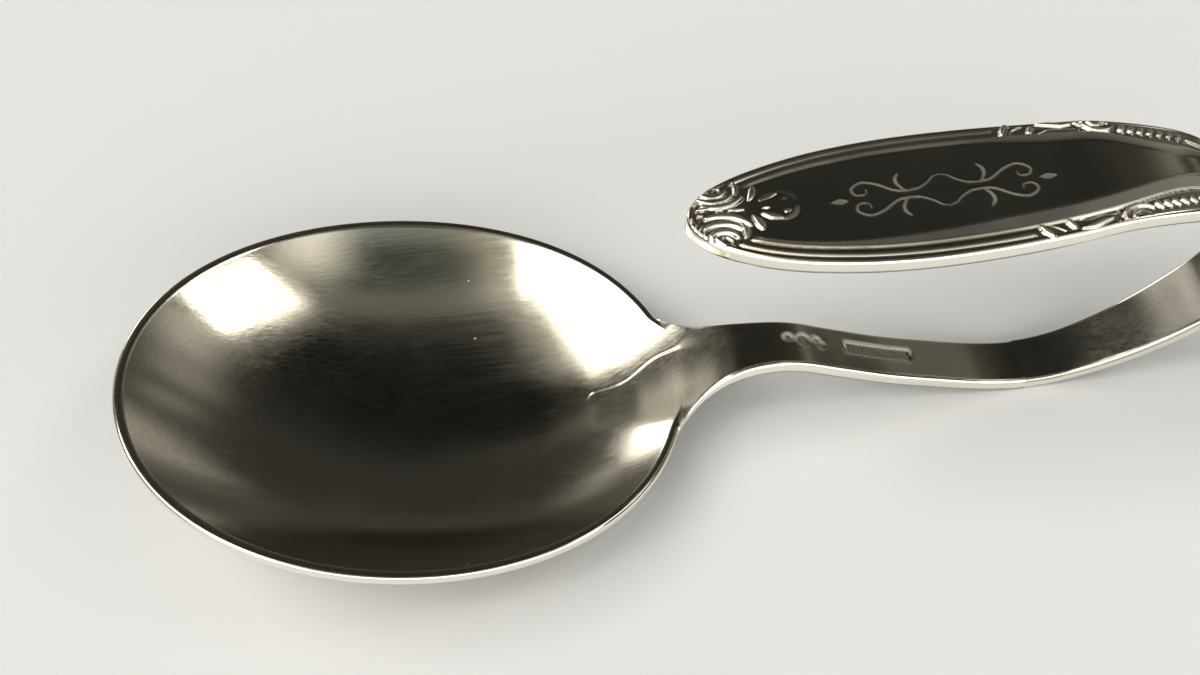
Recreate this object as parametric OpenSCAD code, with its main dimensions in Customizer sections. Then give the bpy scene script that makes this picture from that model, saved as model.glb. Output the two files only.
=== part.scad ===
// Baby spoon with a looped finger handle: broad oval bowl, slim shank, and a
// strap that turns back over the shank and ends in a long decorated plate.
// Millimetres, +Z up. The origin is where the bowl rests on the table, and +X runs
// from the bowl towards the loop. Near is the -Y side, far the +Y side.

/* [Bowl] */
// Length of the bowl, from its tip to its heel
bowl_len = 40.6; // [36:0.1:46]
// Width across the rim
bowl_w = 32.6; // [28:0.1:36]
// Height of the rim at the tip
tip_h = 10.4; // [9:0.1:12]
// Height of the rim at the heel, where the neck joins
heel_h = 4.5; // [4:0.1:6]
// How far the rim dips half way along its sides
rim_sag = 0.46; // [0:0.02:0.9]
// Distance from the tip back to the point that the bowl rests on
rest_run = 25.5; // [22:0.1:28]
// Thickness of the floor
floor_t = 1; // [0.8:0.05:1.4]
// Width of the flat lip round the rim
lip_w = 0.65; // [0.4:0.05:1]
// Height of the lip's outer edge
lip_edge = 0.8; // [0.6:0.05:1]
// Depth of the bevel inside the lip
lip_bevel = 0.12; // [0.04:0.02:0.3]
// How far the tongue of the neck stands over the bowl at the heel
tongue_h = 0.32; // [0.15:0.01:0.5]

/* [Shank] */
// Distance from the heel of the bowl to the lowest point of the shank
shank_run = 27.2; // [24:0.1:32]
// Height of the hump's upper face over the table
hump_h = 7; // [6.5:0.1:8.5]
// Width of the shank at its waist
shank_w = 4.15; // [3.5:0.05:5]
// Thickness of the shank
shank_t = 1.12; // [0.9:0.02:1.4]
// Distance over which the neck's flare fades
neck_fade = 1.9; // [1.2:0.1:3]

/* [Loop] */
// Distance from the shank's lowest point to the back of the loop
loop_run = 15.4; // [13:0.1:18]
// Height of the handle's upper face at the top of the loop
handle_h = 22.2; // [20:0.1:25]
// Width of the strap at the back of the loop
loop_w = 5.6; // [4.6:0.1:7]

/* [Handle plate] */
// Distance from the top of the loop to the plate's free end
plate_run = 29.7; // [26:0.1:34]
// Width of the plate
plate_w = 11.5; // [9.5:0.1:13]
// Thickness of the plate
plate_t = 1.18; // [1:0.02:1.5]
// How much lower the free end lies than the top of the loop
plate_fall = 0.73; // [0:0.05:2]
// Length of the oval end
tip_run = 16.5; // [12:0.5:20]
// Distance over which the plate narrows towards the loop
shoulder_run = 34; // [28:0.5:40]
// Rounding of the strap's long edges
edge_round = 0.25; // [0.1:0.05:0.4]

/* [Relief] */
// Height of the struck ornament over the plate
relief_h = 0.2; // [0.1:0.02:0.35]
// Distance from the plate's edge to the middle of the outer thread
thread_inset = 0.68; // [0.55:0.02:0.9]
// Distance between the two threads
thread_pitch = 0.66; // [0.6:0.02:0.9]
// Width of the outer thread
outer_thread_w = 0.34; // [0.2:0.02:0.4]
// Width of the inner thread
inner_thread_w = 0.46; // [0.3:0.02:0.5]
// Width of the ridges in the scrolls
ridge_w = 0.34; // [0.2:0.02:0.4]
// Distance between the ridges of a tip volute
ridge_pitch = 0.58; // [0.5:0.02:0.62]

/* [Hidden] */
silver = [0.86, 0.84, 0.78];
polished = [0.9, 0.89, 0.85];
worn = [0.7, 0.67, 0.58];

// The rim's outline: an ellipse a little fuller at both ends, and fullest at the heel
end_fullness_share = 0.047;
egg_share = 0.014;
// The wall's curve: height grows with this power of the distance from the resting point
wall_power = 2.2;
// Size of the flat worn under the bowl, as a share of the bowl
wear_share = 0.14;
// Half angle over which the neck meets the rim, and the steps round and across the bowl
neck_angle = 18;
rim_step = 6;
wall_steps = 9;
// Half angle of the rim over which the tongue starts, how much of it is left at the tongue's
// point, and how far it runs down the wall, as a share of the way from lip to resting point
tongue_angle = 9;
tongue_end_share = 0.1;
tongue_reach_share = 0.46;
tongue_steps = 8;
// Height left at the tongue's feathered edges
feather = 0.04;
// Rounding of the neck's edges where they reach the lip, as a share of the lip's edge
heel_round_share = 0.1;
// How far its sides stand out past the neck's angle there, as a share of that angle
heel_side_share = 1.04;
// Clearance under a piece that lies on another
seat_gap = 0.02;

// Middle of the strap: shares of [run, height], from the heel over the hump to the lowest point
shank_shares = [[0, 0.64], [0.0625, 0.833], [0.136, 0.957], [0.228, 1], [0.32, 0.94], [0.43, 0.734],
    [0.577, 0.463], [0.724, 0.252], [0.871, 0.072], [1, 0]];
// From the lowest point round the back of the loop to the top of the loop
loop_shares = [[0.227, 0.027], [0.473, 0.11], [0.708, 0.237], [0.906, 0.4], [1, 0.61],
    [0.922, 0.749], [0.727, 0.873], [0.506, 0.958], [0.149, 1]];
// From the top of the loop to the plate's free end
plate_shares = [[0.145, 0.74], [0.28, 0.5], [0.414, 0.3], [0.55, 0.13], [0.68, 0], [0.82, -0.12], [1, 0]];
// Points in each stretch of the curve, and stations along the plate
curve_steps = 5;
oval_steps = 14;
flank_steps = 12;
thread_steps = 30;
// The knot that lies at the top of the hump
hump_knot = 3;

// Ornament: a ridge's top is this share of its foot, and its ends this share of its middle
ridge_top_share = 0.5;
end_width_share = 0.3;
thread_h_share = 0.8;
ridge_steps = 10;
boss_sides = 8;
// Each volute's eye, the place of its first ridge in ridge pitches, and where its ridges
// start and stop, as angles from the plate's long axis towards the middle
eye_run = 2.3;
eye_across = 2.3;
first_ring_share = 0.4;
ring_start_angles = [15, 45, 42];
ring_stop_angles = [165, 155, 145];
// The two small buds beside each volute, as shares of the eye's place, and their radius
bud_shares = [[1.57, 0.8], [2.07, 0.65]];
bud_r = 0.24;
// The middle leaf's ends, width and shape
leaf_from = 4.5;
leaf_to = 7.9;
leaf_w = 2.2;
leaf_power = 1.25;
midrib_shares = [0.25, 0.75];
// Where the threads start and where the outer one gives way to the scroll
thread_from = 4.6;
scroll_from = 22.4;
// Where the inner thread ends, how far it swings in at the shoulder, and over what run
inner_end_run = 38.5;
shoulder_inset = 1;
ease_run = 9;
// The scroll, as runs past the outer thread's end and insets from the edge:
// a comma, a bead, an S-shaped leaf, and a small volute
comma_run = 0.75;
comma_inset = 0.78;
bead_run = 2.3;
bead_inset = 0.95;
scroll_leaf_run = 3;
scroll_leaf_len = 3;
scroll_leaf_inset = 0.5;
scroll_leaf_depth = 0.75;
scroll_leaf_w = 0.5;
curl_run = 7.4;
curl_inset = 1.05;
curl_r = 0.52;
curl_angles = [60, 330];
// The row of beads behind the scroll
row_run = 9;
row_inset = 1.1;
bead_count = 7;
bead_pitch = 0.9;
bead_share = 0.7;
// Step over which the edge's slope is measured
slope_reach = 0.2;

tip_x = -rest_run;
rim_mid_x = tip_x + bowl_len / 2;
heel_x = tip_x + bowl_len;
dip_x = heel_x + shank_run;
dip_z = shank_t / 2;
hump_z = hump_h - shank_t / 2;
crown_z = handle_h - plate_t / 2;
crown_x = dip_x + loop_shares[len(loop_shares) - 1][0] * loop_run;

knots = concat(
    [for (p = shank_shares) [heel_x + shank_run * p[0], dip_z + (hump_z - dip_z) * p[1]]],
    [for (p = loop_shares) [dip_x + loop_run * p[0], dip_z + (crown_z - dip_z) * p[1]]],
    [for (p = plate_shares) [crown_x - plate_run * p[0], crown_z - plate_fall * (1 - p[1])]]);

// A smooth curve through the knots, each stretch a cubic that leaves a knot
// parallel to the line between its neighbours
ends = len(knots) - 1;
function knot(i) =
    i < 0 ? 2 * knots[0] - knots[1] :
    i > ends ? 2 * knots[ends] - knots[ends - 1] : knots[i];
function between(i, t) =
    (2 * knot(i) + (knot(i + 1) - knot(i - 1)) * t
    + (2 * knot(i - 1) - 5 * knot(i) + 4 * knot(i + 1) - knot(i + 2)) * t * t
    + (3 * knot(i) - knot(i - 1) - 3 * knot(i + 1) + knot(i + 2)) * t * t * t) / 2;
// The curve as points, in order from the plate's free end to the heel of the bowl
strap = concat([knots[ends]],
    [for (i = [ends - 1 : -1 : 0]) for (k = [curve_steps - 1 : -1 : 0]) between(i, k / curve_steps)]);
last = len(strap) - 1;
function run_sums(i = 1, sum = 0, out = [0]) =
    i > last ? out :
    let (next = sum + norm(strap[i] - strap[i - 1])) run_sums(i + 1, next, concat(out, [next]));
runs = run_sums();
// Direction of travel, and the outward side: up on the plate, down on the shank
headings = [for (i = [0 : last]) let (d = strap[min(i + 1, last)] - strap[max(i - 1, 0)]) d / norm(d)];
x_along = [for (i = [0 : last]) [runs[i], strap[i][0]]];
z_along = [for (i = [0 : last]) [runs[i], strap[i][1]]];
out_x_along = [for (i = [0 : last]) [runs[i], -headings[i][1]]];
out_z_along = [for (i = [0 : last]) [runs[i], headings[i][0]]];
// A point of the strap at a run from the plate's free end, across it, and out from its middle
function on_strap(s, y, out) = [
    lookup(s, x_along) + out * lookup(s, out_x_along),
    y,
    lookup(s, z_along) + out * lookup(s, out_z_along)
];

// Where the pieces of the strap meet
crown_i = curve_steps * len(plate_shares);
dip_i = crown_i + curve_steps * len(loop_shares);
hump_i = last - curve_steps * hump_knot;
crown_run = runs[crown_i];
dip_run = runs[dip_i];

function ease(t) = (1 - cos(180 * max(0, min(1, t)))) / 2;
shoulder_end = tip_run + shoulder_run;
neck_half_w = rim_xy(neck_angle, 0)[1];
neck_run = knots[hump_knot][0] - heel_x;
// Half width of the strap at a run from the free end: an oval end, an eased
// shoulder down to the loop, an eased run down to the shank, and the neck's flare
function flare(s) = s < dip_run ? 0 :
    (neck_half_w - shank_w / 2) * exp((heel_x - lookup(s, x_along)) / neck_fade);
function half_w(s) =
    s < tip_run ? plate_w / 2 * sqrt(1 - pow(1 - s / tip_run, 2)) :
    s < shoulder_end ? (plate_w + (loop_w - plate_w) * ease((s - tip_run) / shoulder_run)) / 2 :
    (loop_w + (shank_w - loop_w) * ease((s - shoulder_end) / (dip_run - shoulder_end))) / 2 + flare(s);
function thick(s) = plate_t + (shank_t - plate_t) * ease((s - crown_run) / (dip_run - crown_run));

// Points of the rim at an angle, 0 at the heel and 180 at the tip, and of the lip's inner edge
function rim_fullness(c) = 1 + end_fullness_share * c * c + egg_share * c;
function rim_z(a) = let (c = cos(a)) tip_h + (heel_h - tip_h) * (1 + c) / 2 - rim_sag * (1 - c * c);
function rim_xy(a, inset) =
    [rim_mid_x + (bowl_len / 2 - inset) * cos(a), (bowl_w / 2 - inset) * sin(a) * rim_fullness(cos(a))];
// The wall climbs from the resting point to the rim along straight lines in plan
function inner_wall(a, share) = let (p = rim_xy(a, lip_w) * share)
    [p[0], p[1], floor_t + (rim_z(a) - lip_bevel - floor_t) * pow(share, wall_power)];
function outer_wall(a, share) = let (p = rim_xy(a, 0) * share, flat = pow(wear_share, wall_power))
    [p[0], p[1], (rim_z(a) - lip_edge) * (pow(share, wall_power) - flat) / (1 - flat)];
function lip_point(a, inset, drop) = let (p = rim_xy(a, inset)) [p[0], p[1], rim_z(a) - drop];

// Faces of a closed skin over rings of points, with a flat end at each side
function ring_faces(rings, n) =
    [for (j = [0 : rings - 2]) for (i = [0 : n - 1])
        [j * n + i, j * n + (i + 1) % n, (j + 1) * n + (i + 1) % n, (j + 1) * n + i]];
function split(faces) = [for (f = faces) each [[f[0], f[1], f[2]], [f[0], f[2], f[3]]]];

module bowl() {
    angles = [0 : rim_step : 360 - rim_step];
    n = 360 / rim_step;
    wear = [for (k = [wall_steps : -1 : 0]) wear_share + (1 - wear_share) * k / wall_steps];
    rings = concat(
        [for (k = [1 : wall_steps]) [for (a = angles) inner_wall(a, k / wall_steps)]],
        [[for (a = angles) lip_point(a, lip_w, 0)]],
        [[for (a = angles) lip_point(a, 0, 0)]],
        [for (w = wear) [for (a = angles) outer_wall(a, w)]]);
    count = len(rings);
    points = concat([[0, 0, floor_t]], [for (r = rings) each r]);
    skin = [for (f = split(ring_faces(count, n))) [f[0] + 1, f[1] + 1, f[2] + 1]];
    floor_fan = [for (i = [0 : n - 1]) [0, 1 + (i + 1) % n, 1 + i]];
    rest = [[for (i = [0 : n - 1]) 1 + (count - 1) * n + i]];
    color(polished) polyhedron(points, concat(skin, floor_fan, rest), convexity = 6);
}

// Share of the tongue's height across it, from the middle to the side
function crest(v) = pow(cos(90 * min(1, abs(v))), 2);
crest_steps = 3;
across = [for (k = [-crest_steps : crest_steps]) k / crest_steps];

module bowl_tongue() {
    down = [for (k = [0 : tongue_steps]) k / tongue_steps];
    rows = concat([[0, 0, 0]], [for (u = down) [1, u, u]]);
    m = len(across);
    function spread(u) = tongue_angle * (1 - (1 - tongue_end_share) * u);
    function on_wall(a, u) = inner_wall(a, 1 - tongue_reach_share * u) + [0, 0, u == 0 ? lip_bevel : 0];
    function base(r, v) = let (a = v * spread(r[1])) r[0] == 0 ? lip_point(a, 0, 0) : on_wall(a, r[1]);
    function lift(r, v) = [0, 0, feather + tongue_h * crest(v) * (1 - r[1])];
    lower = [for (r = rows) for (v = across) base(r, v) + [0, 0, seat_gap]];
    upper = [for (r = rows) for (v = across) base(r, v) + [0, 0, seat_gap] + lift(r, v)];
    k = len(rows) * m;
    top = [for (j = [0 : len(rows) - 2]) for (i = [0 : m - 2])
        [k + j * m + i, k + j * m + i + 1, k + (j + 1) * m + i + 1, k + (j + 1) * m + i]];
    under = [for (f = top) [f[3] - k, f[2] - k, f[1] - k, f[0] - k]];
    edge = concat([for (i = [0 : m - 1]) i], [for (j = [1 : len(rows) - 1]) j * m + m - 1],
        [for (i = [m - 2 : -1 : 0]) (len(rows) - 1) * m + i], [for (j = [len(rows) - 2 : -1 : 1]) j * m]);
    wall = [for (i = [0 : len(edge) - 1])
        let (a = edge[i], b = edge[(i + 1) % len(edge)]) [a, b, b + k, a + k]];
    color(polished) polyhedron(concat(lower, upper), split(concat(top, under, wall)), convexity = 4);
}

// Cross-section of the strap as [across, out] points, with its long edges taken off
function section(w, t, r) = concat(
    [for (v = across) [v * (w - r), t / 2]], [[w, t / 2 - r], [w, r - t / 2]],
    [for (v = across) [-v * (w - r), -t / 2]], [[-w, r - t / 2], [-w, t / 2 - r]]);
section_n = 2 * len(across) + 4;
function strap_ring(s) = let (w = half_w(s))
    [for (p = section(w, thick(s), min(edge_round, w / 2))) on_strap(s, p[0], p[1])];

// A solid over rings of the strap's section, its two flat ends split into quads
function end_faces(first) = let (m = len(across), n = section_n) concat(
    [for (i = [0 : m - 2]) [first + i, first + i + 1, first + 2 * m - i, first + 2 * m + 1 - i]],
    [[first + m - 1, first + m, first + m + 1, first + m + 2]],
    [[first + n - 3, first + n - 2, first + n - 1, first]]);
function turned(faces) = [for (f = faces) [f[3], f[2], f[1], f[0]]];
module strap_solid(rings) {
    count = len(rings);
    far_end = end_faces((count - 1) * section_n);
    faces = concat(ring_faces(count, section_n), turned(end_faces(0)), far_end);
    polyhedron([for (r = rings) each r], split(faces), convexity = 8);
}

// The neck's last ring lies along the rim, from the lip's lower edge up to the tongue,
// and the rings before it are drawn towards that line the nearer they are
heel_v = concat(across, [1, 1] * heel_side_share, -across, [-1, -1] * heel_side_share);
tongue_share = tongue_angle / neck_angle;
heel_round = heel_round_share * lip_edge;
heel_rise = concat([for (v = across) -lip_edge], [heel_round - lip_edge, -heel_round],
    [for (v = across) feather + tongue_h * crest(v / tongue_share)], [-heel_round, heel_round - lip_edge]);
heel_ring = [for (i = [0 : section_n - 1]) lip_point(neck_angle * heel_v[i], 0, -heel_rise[i])];
plain_heel_ring = strap_ring(runs[last]);
function neck_ring(s) = let (near = pow(1 - (lookup(s, x_along) - heel_x) / neck_run, 2))
    strap_ring(s) + near * (heel_ring - plain_heel_ring);

module neck() {
    color(silver) strap_solid([for (i = [hump_i : last]) neck_ring(runs[i])]);
}
module shank() {
    color(silver) strap_solid([for (i = [dip_i : hump_i]) strap_ring(runs[i])]);
}
module finger_loop() {
    color(silver) strap_solid([for (i = [crown_i : dip_i]) strap_ring(runs[i])]);
}
module handle_plate() {
    oval = [for (k = [1 : oval_steps]) tip_run * (1 - cos(90 * (k - 1 / 2) / oval_steps))];
    flank = [for (k = [1 : flank_steps]) tip_run + (crown_run - tip_run) * k / flank_steps];
    color(silver) strap_solid([for (s = concat(oval, flank)) strap_ring(s)]);
}

// Ornament lies on the plate's upper face. Its places are [run from the free end, across].
function on_plate(p, h) = on_strap(p[0], p[1], thick(p[0]) / 2 + h);
// A raised ridge along a line of places, one half width for each place
module ridge(line, widths, height) {
    n = len(line);
    sides = [for (i = [0 : n - 1])
        let (d = line[min(i + 1, n - 1)] - line[max(i - 1, 0)]) [-d[1], d[0]] / norm(d)];
    points = [for (i = [0 : n - 1]) let (a = sides[i] * widths[i], b = a * ridge_top_share)
        each [on_plate(line[i] + a, seat_gap), on_plate(line[i] + b, height),
            on_plate(line[i] - b, height), on_plate(line[i] - a, seat_gap)]];
    end_a = [3, 2, 1, 0];
    end_b = [0, 1, 2, 3] + [1, 1, 1, 1] * (n - 1) * 4;
    polyhedron(points, split(concat(ring_faces(n, 4), [end_a, end_b])), convexity = 6);
}
// A round boss, its sides rising to a blunt top
module boss(p, r, height) {
    n = boss_sides;
    function circle_at(share, h) = [for (k = [0 : n - 1])
        on_plate(p + r * share * [cos(360 * k / n), sin(360 * k / n)], h)];
    points = concat(circle_at(1, seat_gap), circle_at(ridge_top_share, height));
    base = [[for (k = [n - 1 : -1 : 0]) k]];
    top = [[for (k = [0 : n - 1]) n + k]];
    polyhedron(points, concat(split(ring_faces(2, n)), base, top), convexity = 2);
}
// Width along a ridge that swells from pointed ends
function swell(n, w) = [for (i = [0 : n - 1])
    w * (end_width_share + (1 - end_width_share) * sin(180 * i / (n - 1)))];
module carved(line, w) { ridge(line, swell(len(line), w / 2), relief_h); }
ridge_shares = [for (k = [0 : ridge_steps]) k / ridge_steps];
function arc_line(centre, r, from, to) =
    [for (t = ridge_shares) let (a = from + (to - from) * t) centre + r * [cos(a), sin(a)]];

// Each end volute: an eye inside three ridges that are open towards the plate's edge,
// with two buds beside it
module tip_volute(side) {
    centre = [eye_run, side * eye_across];
    color(worn) {
        boss(centre, ridge_pitch / 2, relief_h);
        for (k = [0 : len(ring_start_angles) - 1])
            carved(arc_line(centre, ridge_pitch * (k + 1 + first_ring_share),
                -side * ring_start_angles[k], -side * ring_stop_angles[k]), ridge_w);
        for (b = bud_shares) boss([b[0] * eye_run, b[1] * side * eye_across], bud_r, relief_h);
    }
}
module tip_volute_near() { tip_volute(-1); }
module tip_volute_far() { tip_volute(1); }

// The leaf between the volutes: two curved sides that close in on a point, and a midrib
module tip_palmette() {
    leaf = leaf_to - leaf_from;
    function side_line(side) = [for (t = ridge_shares)
        [leaf_from + leaf * t, side * (leaf_w / 2 * sin(180 * pow(t, leaf_power)) + ridge_w)]];
    midrib = [for (t = ridge_shares)
        [leaf_from + leaf * (midrib_shares[0] + (midrib_shares[1] - midrib_shares[0]) * t), 0]];
    color(worn) {
        for (side = [-1, 1]) carved(side_line(side), ridge_w);
        carved(midrib, ridge_w);
    }
}

// A thread follows the plate's edge at an inset that is measured square to the edge
function edge_slope(s) = (half_w(s + slope_reach) - half_w(s - slope_reach)) / (2 * slope_reach);
function by_edge(s, side, inset) = [s, side * (half_w(s) - inset * sqrt(1 + pow(edge_slope(s), 2)))];
function thread_runs(to) =
    [for (k = [0 : thread_steps]) thread_from + (to - thread_from) * k / thread_steps];
function even(n, w) = [for (i = [1 : n]) w];
module outer_thread(side) {
    line = [for (s = thread_runs(scroll_from)) by_edge(s, side, thread_inset)];
    color(silver) ridge(line, even(len(line), outer_thread_w / 2), relief_h * thread_h_share);
}
module outer_thread_near() { outer_thread(-1); }
module outer_thread_far() { outer_thread(1); }
// The inner thread swings in at the shoulder, to leave room for the scroll, and gets wider
module inner_thread(side) {
    stations = thread_runs(inner_end_run);
    shift = [for (s = stations) ease((s - scroll_from) / ease_run)];
    line = [for (i = [0 : thread_steps])
        by_edge(stations[i], side, thread_inset + thread_pitch + shoulder_inset * shift[i])];
    widths = (even(len(line), 1) + shift) * inner_thread_w / 2;
    color(silver) ridge(line, widths, relief_h * thread_h_share);
}
module inner_thread_near() { inner_thread(-1); }
module inner_thread_far() { inner_thread(1); }

module shoulder_scroll(side) {
    leaf = [for (t = ridge_shares) by_edge(scroll_from + scroll_leaf_run + scroll_leaf_len * t, side,
        scroll_leaf_inset + scroll_leaf_depth * ease(t))];
    color(worn) {
        boss(by_edge(scroll_from + comma_run, side, comma_inset), ridge_w, relief_h);
        boss(by_edge(scroll_from + bead_run, side, bead_inset), ridge_w, relief_h);
        carved(leaf, scroll_leaf_w);
        carved(arc_line(by_edge(scroll_from + curl_run, side, curl_inset), curl_r,
            side * curl_angles[0], side * curl_angles[1]), ridge_w);
    }
}
module shoulder_scroll_near() { shoulder_scroll(-1); }
module shoulder_scroll_far() { shoulder_scroll(1); }

// A row of small beads carries the ornament on over the shoulder
module shoulder_beads(side) {
    bead_r = bead_pitch * bead_share / 2;
    color(worn) for (k = [0 : bead_count - 1])
        boss(by_edge(scroll_from + row_run + bead_pitch * k, side, row_inset), bead_r, relief_h);
}
module shoulder_beads_near() { shoulder_beads(-1); }
module shoulder_beads_far() { shoulder_beads(1); }

bowl();
bowl_tongue();
neck();
shank();
finger_loop();
handle_plate();
tip_volute_near();
tip_volute_far();
tip_palmette();
outer_thread_near();
outer_thread_far();
inner_thread_near();
inner_thread_far();
shoulder_scroll_near();
shoulder_scroll_far();
shoulder_beads_near();
shoulder_beads_far();
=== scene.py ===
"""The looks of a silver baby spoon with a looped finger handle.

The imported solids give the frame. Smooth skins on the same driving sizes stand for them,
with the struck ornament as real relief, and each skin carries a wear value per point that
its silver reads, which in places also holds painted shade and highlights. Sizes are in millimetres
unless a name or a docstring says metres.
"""

import logging
import math
from dataclasses import dataclass
from enum import Enum
from typing import Any

import bpy
import numpy as np
from mathutils import Matrix, Vector


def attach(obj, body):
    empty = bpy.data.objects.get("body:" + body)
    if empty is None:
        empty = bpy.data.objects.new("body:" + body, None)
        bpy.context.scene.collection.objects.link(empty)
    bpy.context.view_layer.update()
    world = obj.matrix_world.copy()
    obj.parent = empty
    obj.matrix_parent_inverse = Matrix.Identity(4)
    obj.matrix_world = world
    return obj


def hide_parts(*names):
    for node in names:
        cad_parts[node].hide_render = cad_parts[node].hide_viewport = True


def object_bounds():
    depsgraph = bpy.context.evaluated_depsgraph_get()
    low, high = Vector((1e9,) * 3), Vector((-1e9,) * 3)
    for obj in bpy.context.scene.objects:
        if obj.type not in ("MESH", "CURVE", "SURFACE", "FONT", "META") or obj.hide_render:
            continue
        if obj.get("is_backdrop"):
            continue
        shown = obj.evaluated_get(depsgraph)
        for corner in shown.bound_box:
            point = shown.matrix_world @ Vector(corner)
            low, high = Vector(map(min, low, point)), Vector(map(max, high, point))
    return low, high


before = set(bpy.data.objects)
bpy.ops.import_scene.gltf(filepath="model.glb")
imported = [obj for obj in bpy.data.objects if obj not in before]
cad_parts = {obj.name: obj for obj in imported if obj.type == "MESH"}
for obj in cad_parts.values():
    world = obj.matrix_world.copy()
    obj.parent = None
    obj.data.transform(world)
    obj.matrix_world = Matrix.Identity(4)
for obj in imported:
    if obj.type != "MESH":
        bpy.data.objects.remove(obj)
CAD_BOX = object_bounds()
MM = 0.001
log = logging.getLogger("spoon")
Array = np.ndarray
Pair = tuple[float, float]
Triple = tuple[float, float, float]
Colour = Triple
# Watts from each square metre of a lamp that make it as bright as 1
WHITE_WATTS = 4
WARM_WHITE: Colour = (1.0, 0.985, 0.95)
COOL_WHITE: Colour = (0.85, 1.0, 0.95)


class Side(Enum):
    """The spoon's two long sides, with the sign of y on each."""

    NEAR = -1
    FAR = 1


class Slot(Enum):
    """The record's material slots."""

    POLISHED = "polished"
    SILVER = "silver"


# Shape helpers


def ease(share: Array) -> Array:
    """Half a cosine wave from 0 to 1 as the share goes from 0 to 1, level outside that range."""
    return (1 - np.cos(np.pi * np.clip(share, 0, 1))) / 2


def rise(value: Array, start: float, span: float) -> Array:
    """Eased from 0 at the start to 1 where the span ends."""
    return ease((value - start) / span)


def lasting(value: Array, begins: Pair, ends: Pair) -> Array:
    """1 from where something has begun up to where it ends, eased at both."""
    return rise(value, *begins) * (1 - rise(value, *ends))


def round_drop(inset: Array, radius: float) -> Array:
    """How far a quarter round edge lies below the flat, at an inset from the outline."""
    short = np.clip(radius - inset, 0, radius)
    return radius - np.sqrt(radius**2 - short**2)


def crowded(steps: int, power: float) -> Array:
    """Places from -1 to 1 that crowd towards both ends by a power, 2 * steps + 1 of them."""
    share = np.linspace(-1, 1, 2 * steps + 1)
    return np.sign(share) * (1 - (1 - np.abs(share)) ** power)


def smooth_line(knots: Array, steps: int) -> Array:
    """A cubic through each stretch, which leaves a knot parallel to the line between its neighbours.

    Args:
        knots: the points to pass through.
        steps: points for each stretch.

    Returns:
        The points of the curve, in the knots' order.
    """
    padded = np.vstack([2 * knots[0] - knots[1], knots, 2 * knots[-1] - knots[-2]])
    share = (np.arange(steps) / steps)[None, :, None]
    before, here = padded[:-3, None], padded[1:-2, None]
    after, beyond = padded[2:-1, None], padded[3:, None]
    curve = 2 * here + (after - before) * share
    curve = curve + (2 * before - 5 * here + 4 * after - beyond) * share**2
    curve = curve + (3 * here - before - 3 * after + beyond) * share**3
    return np.vstack([curve.reshape(-1, 2) / 2, knots[-1]])


@dataclass
class Skin:
    """A closed skin over rings of points, with a flat cap or a pole at each end.

    Attributes:
        rings: points in millimetres, shaped rings x places x 3.
        wear: 0 in dark hollows to 1 on rubbed edges, with painted shade and highlights in some places,
            shaped rings x places.
        matt: 0 where it is polished to 1 where it is matt, shaped the same.
        poles: True where the end ring closes on its own middle instead of a flat cap.
    """

    rings: Array
    wear: Array
    matt: Array
    poles: tuple[bool, bool] = (False, False)

    def build(self, name: str) -> bpy.types.Object:
        """Makes the mesh object in metres, with faces outwards and its wear as an attribute.

        Args:
            name: the piece's name.

        Returns:
            The new object, linked and shaded smooth.
        """
        count, around = self.rings.shape[:2]
        points = self.rings.reshape(-1, 3)
        marks = np.stack([self.wear.reshape(-1), self.matt.reshape(-1)])
        row = np.arange(count - 1)[:, None] * around
        here = np.arange(around)[None, :]
        there = (here + 1) % around
        quads = np.stack([row + here, row + there, row + around + there, row + around + here], -1)
        loops = [quads.reshape(-1)]
        sizes = [np.full((count - 1) * around, 4)]
        for end, pole in enumerate(self.poles):
            ring = np.arange(around) + end * (count - 1) * around
            ring = ring if end else ring[::-1]
            if pole:
                middle = len(points)
                points = np.vstack([points, points[ring].mean(0)])
                marks = np.append(marks, marks[:, ring].mean(1)[:, None], 1)
                fan = np.stack([ring, np.roll(ring, -1), np.full(around, middle)], -1)
                loops.append(fan.reshape(-1))
                sizes.append(np.full(around, 3))
            else:
                loops.append(ring)
                sizes.append(np.array([around]))
        corners = np.concatenate(loops)
        lengths = np.concatenate(sizes)
        if self.volume() < 0:
            corners = self.turned(corners, lengths)
        return make_object(name, points * MM, corners, lengths, dict(zip(("wear", "matt"), marks)))

    def volume(self) -> float:
        """Six times the signed volume under the quads, by sums of triple products."""
        a = self.rings[:-1]
        b = np.roll(a, -1, 1)
        d = self.rings[1:]
        c = np.roll(d, -1, 1)
        middle = self.rings.reshape(-1, 3).mean(0)
        a, b, c, d = a - middle, b - middle, c - middle, d - middle
        return float((np.cross(a, b) * c).sum() + (np.cross(a, c) * d).sum())

    @staticmethod
    def turned(corners: Array, lengths: Array) -> Array:
        """The same faces with their corners in the opposite order."""
        starts = np.concatenate([[0], np.cumsum(lengths)[:-1]])
        face = np.repeat(np.arange(len(lengths)), lengths)
        place = np.arange(len(corners)) - starts[face]
        return corners[starts[face] + lengths[face] - 1 - place]


def placed(name: str, data: bpy.types.ID) -> bpy.types.Object:
    """A new object of the data, linked to the scene."""
    made = bpy.data.objects.new(name, data)
    bpy.context.scene.collection.objects.link(made)
    return made


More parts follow.
